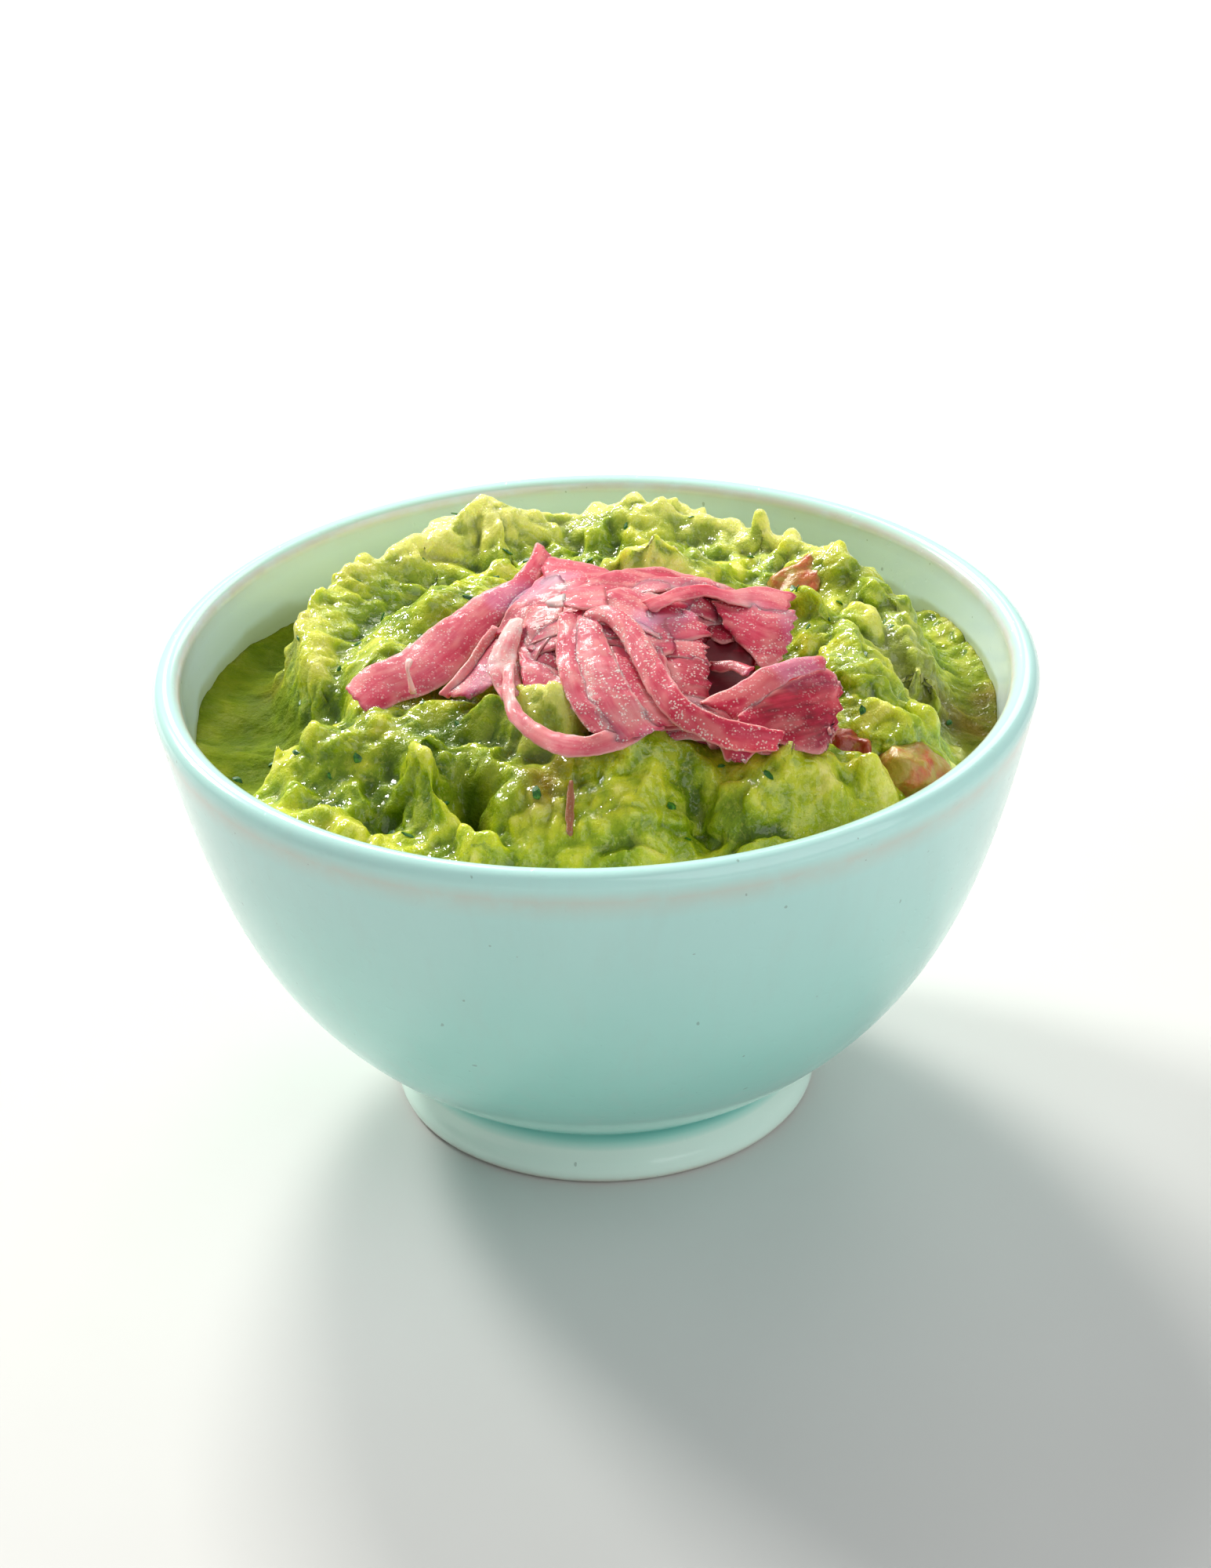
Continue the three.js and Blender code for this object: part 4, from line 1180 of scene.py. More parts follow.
tomato = {
    "subdivisions": 26,
    "dent": 0.9,
    "seed": 7,
    # place of the middle, size, turn in degrees, how squared it is, how much mash is smeared on it, how ripe
    # and how much painted shade darkens it
    "dice": {
        "tomato_dice_back": {
            "place": (31.5, 18.2, 73.0), "size": (9.0, 7.0, 6.5), "turn": (18, -14, 25),
            "corner": 5, "film": 0.9, "ripe": 0.15,
        },
        "tomato_dice_right": {
            "place": (34.9, -29.5, 70.5), "size": (7.4, 6.2, 6.0), "turn": (-30, 10, -15),
            "corner": 6, "film": 0.0, "ripe": 0.8,
        },
        "tomato_dice_front": {
            "place": (43.8, -31.0, 68.0), "size": (10.4, 8.4, 7.4), "turn": (20, 16, 40),
            "corner": 3, "film": 1.15, "ripe": 0.1,
        },
        "tomato_dice_left": {
            "place": (-8.0, -42.8, 69.7), "size": (8.0, 7.0, 7.0), "turn": (12, -20, 10),
            "corner": 4, "film": 1.3, "ripe": 0.3,
        },
    },
    "colours": {
        "flesh": [(0.3, (164, 50, 22)), (0.5, (194, 80, 42)), (0.68, (214, 130, 76))],
        "fibre": (232, 178, 120),
        "ripe": (136, 34, 14),
        "mashFilm": (172, 158, 62),
    },
}


def tomatoMaterial():
    colours = tomato["colours"]
    material, tree, shader = newMaterial("tomatoFlesh", {
        "Roughness": 0.36, "Subsurface Weight": 0.6, "Subsurface Radius": (1.0, 0.35, 0.15),
        "Subsurface Scale": 0.002, "Coat Weight": 0.06, "Coat Roughness": 0.15,
    })
    place = objectPlace(tree)
    flesh = noiseOf(tree, place, 2.6, 4, 0.6, 0.4)
    body = colourRamp(tree, flesh, colours["flesh"])
    fibre = noiseOf(tree, place, 0.9, 2, 0.5)
    body = mixColour(tree, ramp(tree, fibre, 0.6, 0.75, 0, 0.5), body, paint(*colours["fibre"]))
    # darker red where ripe, and painted shade
    body = mixColour(tree, attribute(tree, "ripe"), body, paint(*colours["ripe"]))
    # mash smeared over it, more on some dice than others
    wipe = noiseOf(tree, place, 3.4, 4, 0.6, 0.5)
    film = times(tree, attribute(tree, "film"), 0.4)
    cover = plus(tree, times(tree, wipe, 2.0), film)
    body = mixColour(tree, ramp(tree, cover, 0.95, 1.65, 0, 0.9), body, paint(*colours["mashFilm"]))
    tree.links.new(body, shader.inputs["Base Color"])
    addBump(tree, shader, plus(tree, flesh, fibre), 0.22)
    return material


def dieShape(die):
    shape = bmesh.new()
    bmesh.ops.create_cube(shape, size=1)
    cuts = tomato["subdivisions"]
    bmesh.ops.subdivide_edges(shape, edges=shape.edges[:], cuts=cuts, use_grid_fill=True)
    turn = Euler([math.radians(a) for a in die["turn"]], "XYZ").to_matrix()
    seed = Vector(die["place"])
    corner = die["corner"]
    width, depth, height = die["size"]
    for vertex in shape.verts:
        # a superellipsoid keeps flat cut faces between soft corners
        p = vertex.co * 2
        length = (abs(p.x) ** corner + abs(p.y) ** corner + abs(p.z) ** corner) ** (1 / corner)
        p = p / max(length, 1e-6)
        p = Vector((p.x * width, p.y * depth, p.z * height)) / 2
        wave = noise.noise_vector((p + seed) / 3.2) * tomato["dent"]
        fine = noise.noise_vector((p + seed) / 1.1) * tomato["dent"] * 0.18
        vertex.co = (turn @ (p + wave + fine) + seed) * mm
    bmesh.ops.recalc_face_normals(shape, faces=shape.faces[:])
    return shape


def makeTomato():
    material = tomatoMaterial()
    # the vector noise of the dents follows the clock unless it is seeded
    noise.seed_set(tomato["seed"])
    for name, die in tomato["dice"].items():
        piece = pieceOfShape(name.replace("tomato_dice", "tomatoDice"), dieShape(die), material)
        setEverywhere(piece, "film", die["film"])
        setEverywhere(piece, "ripe", die["ripe"])
        keep(piece, name)


# Each strip is a slip of onion layer between two cut edges, with its blush from pale (0) to burgundy (1)
# at the start, middle and end, how ragged its two ends are, how much it cups across and how much salt
# lies on it (0.8 where it isn't given).
strips = {
    "longLeft": {
        "firstEdge": [
            (-35.9, -18.7, 77.5), (-32.5, -14, 78.6), (-28.7, -13, 79.8), (-23.3, -8.6, 81.8),
            (-19.5, -5.3, 83), (-16.2, -2.6, 84), (-11.8, -0.2, 85), (-9, 4.9, 85.8), (-8, 9.6, 86.2),
        ],
        "secondEdge": [
            (-31.4, -22.9, 75.6), (-28.1, -20.4, 76.2), (-24.8, -20, 77), (-21.1, -18.3, 78.2),
            (-18.9, -15.1, 79.2), (-16.8, -12, 80.4), (-13.5, -8.1, 82), (-9.3, -2.4, 83.8),
            (-6.1, 5.9, 85.2),
        ],
        "blush": (0.38, 0.38, 0.5), "ragged": (0.9, 0.5), "cup": 0.16, "frost": 0.5,
    },
    "thinPale": {
        "firstEdge": [(-14.4, -10.9, 83), (-16.9, -14.7, 81.2), (-19.3, -18.8, 79.6), (-22.1, -22.5, 78)],
        "secondEdge": [
            (-13.6, -11.7, 82.4), (-15.5, -14.1, 80.6), (-18.5, -19.5, 78.8), (-20.7, -22, 77.4),
        ],
        "blush": (0.2, 0.15, 0.2), "ragged": (0.3, 0.3), "cup": 0.2,
    },
    "magentaLeft": {
        "firstEdge": [(-14, -10.4, 81.8), (-16.2, -11.7, 80.4), (-18.3, -15.8, 79.2), (-21.3, -22.6, 77.6)],
        "secondEdge": [
            (-13.1, -16.8, 81.4), (-13.6, -20.5, 80.6), (-14.5, -22.6, 79.6), (-17.2, -23.4, 78.2),
        ],
        "blush": (0.75, 0.7, 0.6), "ragged": (0.3, 0.6), "cup": 0.1,
    },
    "backPurple": {
        "firstEdge": [(-6.5, 1.7, 85.4), (-9.6, -3.4, 84.6), (-12.3, -8, 83.6), (-14, -12.2, 82.4)],
        "secondEdge": [(-2.4, -7.1, 86.2), (-5.2, -9, 85.6), (-8.2, -11.5, 84.6), (-11.2, -14.8, 83.2)],
        "blush": (0.45, 0.64, 0.74), "ragged": (0.4, 0.4), "cup": 0.1, "frost": 0.4,
    },
    "backPale": {
        "firstEdge": [(-6.7, 6.8, 85.4), (-3.7, 4.5, 85.8), (-0.4, 2.5, 85.8), (2.9, 1.3, 85.4)],
        "secondEdge": [(-7.4, -5, 85), (-5.2, -7.6, 85.6), (-2.2, -8.4, 86.2), (1.4, -5.7, 86)],
        "blush": (0.46, 0.46, 0.48), "ragged": (0.5, 0.5), "cup": 0.06, "frost": 0.5,
    },
    "centreFlap": {
        "firstEdge": [(-4.7, -10.6, 87.9), (-1.6, -9.6, 88.1), (1.7, -10.2, 88.1)],
        "secondEdge": [(-4.1, -15.5, 87.7), (-1.3, -16.6, 87.9), (1.9, -16.8, 88)],
        "blush": (0.42, 0.38, 0.4), "ragged": (0.2, 0.2), "cup": 0.05, "frost": 0.3,
    },
    "creamFlake": {
        "firstEdge": [(-4.4, -11.7, 88.2), (-5.4, -12.4, 88), (-6.7, -13.5, 87.6)],
        "secondEdge": [(-3.7, -14.9, 87.6), (-5, -14.6, 87.4), (-6.3, -14, 87.2)],
        "blush": (-0.2, -0.25, -0.2), "ragged": (0.3, 0.2), "cup": 0.2,
    },
    "topBack": {
        "firstEdge": [
            (-1.2, -4.7, 86.4), (2.6, -1.6, 86.6), (8.7, 0.5, 86.4), (14.7, -1, 85.8),
            (18.2, -3.8, 85.2),
        ],
        "secondEdge": [
            (-3, -10, 86), (1, -14.1, 86.2), (5.5, -18.9, 85.8), (10.3, -20.2, 85.4),
            (14.9, -16.5, 84.6),
        ],
        "blush": (0.62, 0.6, 0.54), "ragged": (0.5, 0.8), "cup": 0.1, "frost": 0.3,
    },
    "centreFan": {
        "firstEdge": [(0.3, -9.9, 87.2), (4.7, -8.9, 87.4), (9.5, -10.5, 87.2), (13.8, -11, 86.6)],
        "secondEdge": [(1.3, -16.5, 86.8), (5.4, -25.2, 86), (8.5, -26.2, 85.4), (10.9, -25.1, 85)],
        "blush": (0.5, 0.46, 0.52), "ragged": (0.4, 0.9), "cup": 0.08, "frost": 0.6,
    },
    "paleBand": {
        "firstEdge": [
            (6.7, -15, 87.8), (11.1, -11.8, 88), (14.7, -9.9, 87.8), (19.3, -10, 87),
            (23.8, -7.4, 86.2), (28.9, -7.5, 85),
        ],
        "secondEdge": [
            (8.3, -16.8, 87.2), (11.7, -14.2, 87.4), (15.7, -12.1, 87.2), (19.7, -13.2, 86.4),
            (23.7, -13.1, 85.4), (27.6, -14, 84.4),
        ],
        "blush": (0.3, 0.32, 0.48), "ragged": (0.4, 0.6), "cup": 0.08, "frost": 0.2,
    },
    "pleatUpper": {
        "firstEdge": [(7.5, -15.6, 87), (10.2, -14.1, 86.8), (13.4, -14.5, 86.4)],
        "secondEdge": [(8.1, -20.8, 86), (11.8, -22.2, 85.4), (16.4, -19.6, 84.8)],
        "blush": (0.5, 0.45, 0.6), "ragged": (0.3, 1.1), "cup": 0.12,
    },
    "pleatLower": {
        "firstEdge": [(8.1, -20.1, 86), (11.1, -20.7, 85.6), (14.3, -19.7, 85)],
        "secondEdge": [(9.2, -25.1, 84.8), (12.2, -25.6, 84.4), (16, -27, 83.8)],
        "blush": (0.5, 0.55, 0.7), "ragged": (0.3, 1.1), "cup": 0.12,
    },
    "innerRight": {
        "firstEdge": [(8.8, -23.1, 84.8), (12.2, -24.6, 84.6), (15.9, -26, 84)],
        "secondEdge": [(9.9, -30.2, 83.4), (12.4, -33.6, 82.6), (15, -33.5, 82)],
        "blush": (0.62, 0.66, 0.8), "ragged": (0.3, 0.6), "cup": 0.1,
    },
    "darkPocket": {
        "firstEdge": [(14.2, -8.6, 85.4), (16.9, -7.3, 85.4), (19, -9.7, 85)],
        "secondEdge": [(15.7, -16.2, 83.2), (17.8, -18.2, 82.8), (20.3, -17.6, 82.8)],
        "blush": (0.82, 0.88, 0.85), "ragged": (0.3, 0.3), "cup": 0.05,
    },
    "rightSlab": {
        "firstEdge": [(17.1, -12.1, 86.4), (21.4, -11.9, 86.2), (25.1, -12.7, 85.6), (28.5, -12.5, 84.8)],
        "secondEdge": [(19.2, -17.6, 83.8), (21.7, -21.1, 83), (23.8, -24.4, 82.2), (27, -20.9, 82)],
        "blush": (0.68, 0.58, 0.5), "ragged": (0.4, 0.7), "cup": 0.12, "frost": 0.7,
    },
    "holeStrip": {
        "firstEdge": [(16.3, -22.4, 82), (19.2, -23.1, 82.4), (22.1, -25.9, 82.8)],
        "secondEdge": [(16.2, -24, 81.4), (19.1, -24.9, 81.8), (21.1, -27.7, 82.2)],
        "blush": (0.85, 0.75, 0.6), "ragged": (0.3, 0.3), "cup": 0.2,
    },
    "rightRibbon": {
        "firstEdge": [
            (14.2, -35.6, 82.8), (18.7, -33.9, 84), (22.5, -31.3, 85), (26.3, -29.1, 85.4),
            (31.5, -26.9, 84.8),
        ],
        "secondEdge": [
            (19, -38.2, 81.4), (21.7, -36.7, 82.4), (24.5, -33.8, 83.4), (27.9, -31.1, 84),
            (32.4, -28.5, 83.6),
        ],
        "blush": (0.62, 0.45, 0.42), "ragged": (0.4, 0.5), "cup": 0.2, "frost": 0.6,
    },
    "rightDark": {
        "firstEdge": [
            (19, -38.8, 82), (23.4, -34.8, 83), (27.9, -31.2, 83.8), (32.3, -27.7, 83.4),
            (34, -31.8, 82.4),
        ],
        "secondEdge": [
            (20.9, -41, 79.8), (24.5, -41.5, 79.4), (27.3, -42.7, 79), (30, -42.8, 78.4),
            (32.7, -38.8, 79.4),
        ],
        "blush": (0.66, 0.76, 0.84), "ragged": (0.3, 0.6), "cup": 0.1, "frost": 0.35,
    },
    # a near-black sheet in the hole under the right slabs: painted shade
    "darkShadeSheet": {
        "firstEdge": [(15.4, -17.6, 82.6), (19, -15.5, 82.8), (22.6, -19.8, 82.2)],
        "secondEdge": [(14.4, -30.5, 77.6), (18, -30.6, 77.8), (21.9, -27.5, 78.4)],
        "blush": (1.15, 1.1, 1.15), "ragged": (0.2, 0.2), "cup": 0.02, "frost": 0.0,
    },
    "curl": {
        "firstEdge": [
            (-1.5, -17.8, 87.2), (-0.5, -17.3, 88.2), (2.3, -17.8, 89), (5.1, -21, 88.8),
            (7.4, -26.1, 88), (9.8, -33.5, 86.4), (12.5, -39.5, 85), (15.9, -41.6, 83.8),
            (19.9, -41.8, 82.6), (23.5, -41.9, 81.6), (25.5, -41.6, 80.9),
        ],
        "secondEdge": [
            (-0.2, -19.5, 86.8), (0.5, -19.5, 87.4), (1.9, -21.1, 88), (3.8, -25.3, 87.6),
            (5.3, -29.8, 86.6), (7.3, -36.1, 85), (9.9, -40.6, 83.2), (13.1, -43.1, 81.8),
            (17.2, -44.7, 80.6), (21.3, -44.5, 79.8), (24.5, -43.5, 79.2),
        ],
        "blush": (0.36, 0.44, 0.6), "ragged": (0.3, 0.5), "cup": 0.22, "frost": 1.3,
    },
    "tip": {
        "firstEdge": [(16.6, -42.2, 79.8), (17.3, -43.9, 78.8), (18.4, -45.4, 78.2)],
        "secondEdge": [(21.5, -43.3, 79.4), (20.7, -44.1, 78.8), (19.4, -45.3, 78.2)],
        "blush": (0.65, 0.72, 0.75), "ragged": (0.2, 0.5), "cup": 0.1,
    },
    "paleUpright": {
        "firstEdge": [
            (-11.8, -14.7, 85.6), (-13.5, -18.3, 84.6), (-14.7, -22.2, 83.6), (-14.9, -24.1, 82.8),
            (-14, -27.2, 82), (-12.9, -30.7, 81.2),
        ],
        "secondEdge": [
            (-10.1, -14.9, 85.4), (-10.5, -17.7, 84.8), (-11.1, -21.2, 83.6), (-11, -24.3, 82.8),
            (-10.5, -26.3, 82), (-10.2, -28.8, 81.4),
        ],
        "blush": (0, 0.1, 0.3), "ragged": (0.4, 0.3), "cup": 0.25,
    },
    "openRing": {
        "firstEdge": [
            (-12.8, -24.6, 83), (-12.8, -29.6, 82), (-11.9, -35.8, 81), (-9.6, -39.5, 80.2),
            (-5, -44.2, 79.8), (-1.4, -44.8, 79.8), (3.3, -43.5, 80.2), (7.8, -39.7, 80.8),
        ],
        "secondEdge": [
            (-11.4, -24, 83.2), (-11.4, -29.7, 82.6), (-10.4, -34.6, 81.8), (-7.8, -38.4, 81.4),
            (-4.1, -40.9, 81.2), (-0.8, -42.3, 81.4), (1.9, -40.3, 81.8), (5, -37.7, 82.2),
        ],
        "blush": (0.14, 0.26, 0.36), "ragged": (0.3, 0.4), "cup": 0.16, "frost": 0.25,
    },
    "holeEdge": {
        "firstEdge": [(-10.6, -21.1, 83.8), (-7.4, -24.9, 83.6), (-4, -29.5, 83.2), (-0.7, -35.5, 82.4)],
        "secondEdge": [(-9.8, -28.5, 82.4), (-7.5, -30.3, 82.2), (-3.8, -34.2, 81.8), (-0.6, -40.6, 81.2)],
        "blush": (0.5, 0.42, 0.4), "ragged": (0.4, 0.4), "cup": 0.1,
    },
    "slabLeft": {
        "firstEdge": [
            (-4.8, -16, 87), (-5.2, -24, 86), (-5, -30.1, 85), (-3.7, -35.2, 83.4),
            (-0.8, -40.9, 81.4),
        ],
        "secondEdge": [
            (-1.5, -15.7, 87.2), (-2.4, -23.4, 86.2), (-2, -30.7, 85.2), (0.1, -37.5, 83.4),
            (4.4, -41.8, 81.2),
        ],
        "blush": (0.46, 0.42, 0.38), "ragged": (0.5, 0.5), "cup": 0.15, "frost": 1.0,
    },
    "slabMid": {
        "firstEdge": [
            (-2.2, -17.1, 87.2), (-2.6, -24.5, 86.2), (-2, -32.2, 84.8), (0, -38.5, 82.8),
            (2, -43.3, 80.6),
        ],
        "secondEdge": [
            (0.8, -20.3, 87.4), (2.4, -27.5, 86.4), (4.4, -34.1, 85), (6.7, -38.6, 83.2),
            (9.3, -41, 81.8),
        ],
        "blush": (0.46, 0.36, 0.38), "ragged": (0.5, 0.4), "cup": 0.12, "frost": 1.1,
    },
    "slabRight": {
        "firstEdge": [(2.7, -26.6, 86.2), (3.4, -32.1, 85.2), (4.8, -36.3, 83.8), (7.5, -40.8, 81.8)],
        "secondEdge": [(6.3, -29.6, 85), (7.7, -34.8, 83.8), (9.4, -38.7, 82.6), (11, -40.7, 81.6)],
        "blush": (0.56, 0.5, 0.46), "ragged": (0.6, 0.4), "cup": 0.12, "frost": 0.6,
    },
    "underTop": {
        "firstEdge": [(-8.8, -9, 84.4), (-3.5, -9.5, 85.3), (1.5, -9, 86), (6, -9, 86.3)],
        "secondEdge": [(-8.5, -24, 82.6), (-4, -25, 83.2), (1, -25, 84.2), (6, -22, 85.2)],
        "blush": (0.5, 0.52, 0.5), "ragged": (0.4, 0.4), "cup": 0.04,
    },
    "underCurl": {
        "firstEdge": [(0.5, -19, 86), (2.5, -26, 85.2), (5, -32, 83.9), (8, -38, 82.2)],
        "secondEdge": [(8, -18, 86.2), (9.5, -25, 85.2), (10.5, -32, 83.8), (12.5, -38, 82)],
        "blush": (0.5, 0.55, 0.55), "ragged": (0.4, 0.4), "cup": 0.04,
    },
    "thread": {
        "firstEdge": [
            (-26.4, -19.7, 82.3), (-26.6, -21.2, 81.3), (-26.2, -22.4, 80.2), (-25.9, -23.3, 78.9),
        ],
        "secondEdge": [
            (-25.9, -19.8, 82.3), (-26.1, -21.3, 81.3), (-25.8, -22.5, 80.2), (-25.4, -23.4, 78.9),
        ],
        "blush": (-0.1, -0.15, -0.1), "ragged": (0.1, 0.1), "cup": 0.3,
    },
    "midDark": {
        "firstEdge": [(-9.5, -10.2, 85.2), (-10, -15.8, 84.4), (-9.5, -20.5, 83.8)],
        "secondEdge": [(-4.2, -11.9, 86.2), (-4.9, -18.1, 85.4), (-4.9, -24.3, 84.4)],
        "blush": (0.72, 0.76, 0.7), "ragged": (0.5, 0.4), "cup": 0.05, "frost": 1.0,
    },
    "backHangMid": {
        "firstEdge": [(4, -1, 85.9), (4.7, 2.4, 84.3), (5.2, 4.4, 81.8), (5.8, 5.6, 79.4)],
        "secondEdge": [(9.4, -1.6, 85.7), (10.2, 2, 84), (11, 3.9, 81.4), (11.8, 4.8, 79)],
        "blush": (0.62, 0.5, 0.55), "ragged": (0.4, 0.8), "cup": 0.2,
    },
    "backHangRight": {
        "firstEdge": [(11.6, -2, 85), (14.2, 1.2, 82.8), (16.6, 2.6, 80.6), (18.4, 3, 78.6)],
        "secondEdge": [(15, -5, 84.4), (18.8, -2.8, 82.2), (21.6, -1.8, 80), (23.6, -1.6, 77.8)],
        "blush": (0.5, 0.4, 0.5), "ragged": (0.4, 0.9), "cup": 0.16,
    },
    "backHangEnd": {
        "firstEdge": [(20, -5, 84.2), (23.5, -3.6, 82.2), (25.6, -3.2, 79.8), (26.6, -3.2, 77.6)],
        "secondEdge": [(22, -9.4, 84), (25.8, -8.6, 82), (27.7, -8.2, 79.4), (28.4, -8.2, 77.4)],
        "blush": (0.6, 0.52, 0.6), "ragged": (0.4, 0.7), "cup": 0.2,
    },
    "backHangLeft": {
        "firstEdge": [(-9.4, 3, 84.4), (-11, 5.6, 82.4), (-12, 7, 80.2), (-12.6, 7.6, 77.8)],
        "secondEdge": [(-4.2, 4.6, 84.4), (-4.6, 7.2, 82.2), (-4.8, 8.4, 80), (-4.8, 9, 77.8)],
        "blush": (0.5, 0.42, 0.5), "ragged": (0.4, 0.8), "cup": 0.18,
    },
    "sideHang": {
        "firstEdge": [(23.6, -30.8, 83.6), (25.2, -28.8, 81.8), (26.2, -27.8, 79.4), (26.8, -27.6, 77)],
        "secondEdge": [(29.8, -28.2, 83.6), (31, -26.6, 81.8), (31.8, -26, 79.6), (32.2, -26, 77.2)],
        "blush": (0.6, 0.55, 0.6), "ragged": (0.3, 0.7), "cup": 0.2,
    },
    "leftLow": {
        "firstEdge": [(-10.9, -14.5, 84.4), (-10.7, -18.9, 83.6), (-10.5, -23, 83)],
        "secondEdge": [(-6.8, -18.7, 84.6), (-5.5, -23.1, 83.8), (-4.8, -28.5, 83)],
        "blush": (0.6, 0.58, 0.5), "ragged": (0.4, 0.4), "cup": 0.1,
    },
}

# A sliver of skin standing on its edge in the mash at the front.
sliver = {
    "path": [
        (-3.7, -44.2, 75.5), (-3.8, -46.0, 74.5), (-3.9, -47.6, 73.4), (-4.0, -49.4, 72.0),
        (-4.1, -50.8, 70.9),
    ],
    "width": (0.3, 1.1, 0.3), "lean": (0.15, -0.9),
    "blush": (0.45, 0.6, 0.45), "ragged": (0.1, 0.1), "cup": -0.1,
}

onion = {
    "step": 0.45,
    "columns": [-1, -0.985, -0.93, -0.8, -0.6, -0.4, -0.2, 0, 0.2, 0.4, 0.6, 0.8, 0.93, 0.985, 1],
    # the tangle under the strips: centre, half-sizes and heading
    "core": [
        ((2, -19, 79.0), (14, 11, 7.4), -10), ((12, -8, 78), (15, 8, 8.6), -5), ((-7, -4, 78), (8, 8, 6), 40),
        ((25.2, -35.2, 76.8), (7.8, 4.6, 3.9), 8), ((10, -34.8, 77), (10, 3.8, 5.2), 0),
    ],
    "coreInset": 1.0,
    # seeded strips over each part of the core
    "wraps": 17,
    # what the material reads where there is no strip
    "coreLooks": {
        "acrossStrip": 0.0, "alongStrip": 0.0, "halfWidth": 1.0, "blush": 0.6, "stripSeed": 0.3,
        "frost": 0.4,
    },
    "sliverVeil": 0.75,
    "colours": {
        "body": [
            (0.00, (238, 192, 188)), (0.18, (222, 130, 136)), (0.38, (206, 80, 100)),
            (0.58, (190, 44, 74)), (0.80, (156, 16, 46)), (1.0, (92, 6, 22)),
        ],
        "thin": (236, 156, 148),
        "edge": (240, 178, 170),
        "bloom": (218, 148, 190),
        "salt": (252, 232, 222),
        "veil": (136, 112, 66),
    },
}

onionForm = {
    "Thickness": 0.34,
    "Edge Share": 0.75,
    "Cup": 0.8,
    "Ruffle": 0.6,
    "Rib Depth": 0.015,
    "Rib Width": 1.1,
    "Seed": 4.0,
}


def smoothPath(points, step):
    # a centripetal Catmull-Rom curve through the points, walked in even steps
    p = [Vector(q) for q in points]
    p = [2 * p[0] - p[1]] + p + [2 * p[-1] - p[-2]]
    dense = []
    for a, b, c, d in zip(p, p[1:], p[2:], p[3:]):
        t0 = 0.0
        t1 = t0 + max((b - a).length, 1e-6) ** 0.5
        t2 = t1 + max((c - b).length, 1e-6) ** 0.5
        t3 = t2 + max((d - c).length, 1e-6) ** 0.5
        for k in range(24):
            t = t1 + (t2 - t1) * k / 24
            q1 = a * ((t1 - t) / (t1 - t0)) + b * ((t - t0) / (t1 - t0))
            q2 = b * ((t2 - t) / (t2 - t1)) + c * ((t - t1) / (t2 - t1))
            q3 = c * ((t3 - t) / (t3 - t2)) + d * ((t - t2) / (t3 - t2))
            r1 = q1 * ((t2 - t) / (t2 - t0)) + q2 * ((t - t0) / (t2 - t0))
            r2 = q2 * ((t3 - t) / (t3 - t1)) + q3 * ((t - t1) / (t3 - t1))
            dense.append(r1 * ((t2 - t) / (t2 - t1)) + r2 * ((t - t1) / (t2 - t1)))
    dense.append(p[-2])
    dense = np.array(dense)
    lengths = np.concatenate([[0], np.cumsum(np.linalg.norm(np.diff(dense, axis=0), axis=1))])
    count = max(8, round(lengths[-1] / step))
    marks = np.linspace(0, lengths[-1], count + 1)
    even = np.stack([np.interp(marks, lengths, dense[:, k]) for k in range(3)], 1)
    return even, lengths[-1]


def throughThree(values, t):
    # a curve through a value at the start, in the middle and at the end
    start, middle, end = values
    return start * (1 - t) * (1 - 2 * t) + 4 * middle * t * (1 - t) + end * t * (2 * t - 1)


def evenly(points, count):
    # the smoothed path cut into a given number of equal steps
    dense, _ = smoothPath(points, 0.1)
    marks = np.linspace(0, len(dense) - 1, count + 1)
    return np.stack([np.interp(marks, np.arange(len(dense)), dense[:, k]) for k in range(3)], 1)


def ribbonEdges(strip):
    # the two edges of a ribbon of given width about its path
    path, _ = smoothPath(strip["path"], onion["step"] * (2 if "plain" in strip else 1))
    count = len(path) - 1
    first, second = [], []
    leanX, leanY = strip["lean"]
    for k in range(count + 1):
        along = Vector(path[min(k + 1, count)] - path[max(k - 1, 0)]).normalized()
        across = along.cross(Vector((leanX, leanY, 1))).normalized()
        half = throughThree(strip["width"], k / count) / 2
        first.append(Vector(path[k]) - across * half)
        second.append(Vector(path[k]) + across * half)
    return np.array(first), np.array(second)


def noiseAt(x, y, z):
    return noise.noise(Vector((x, y, z)))


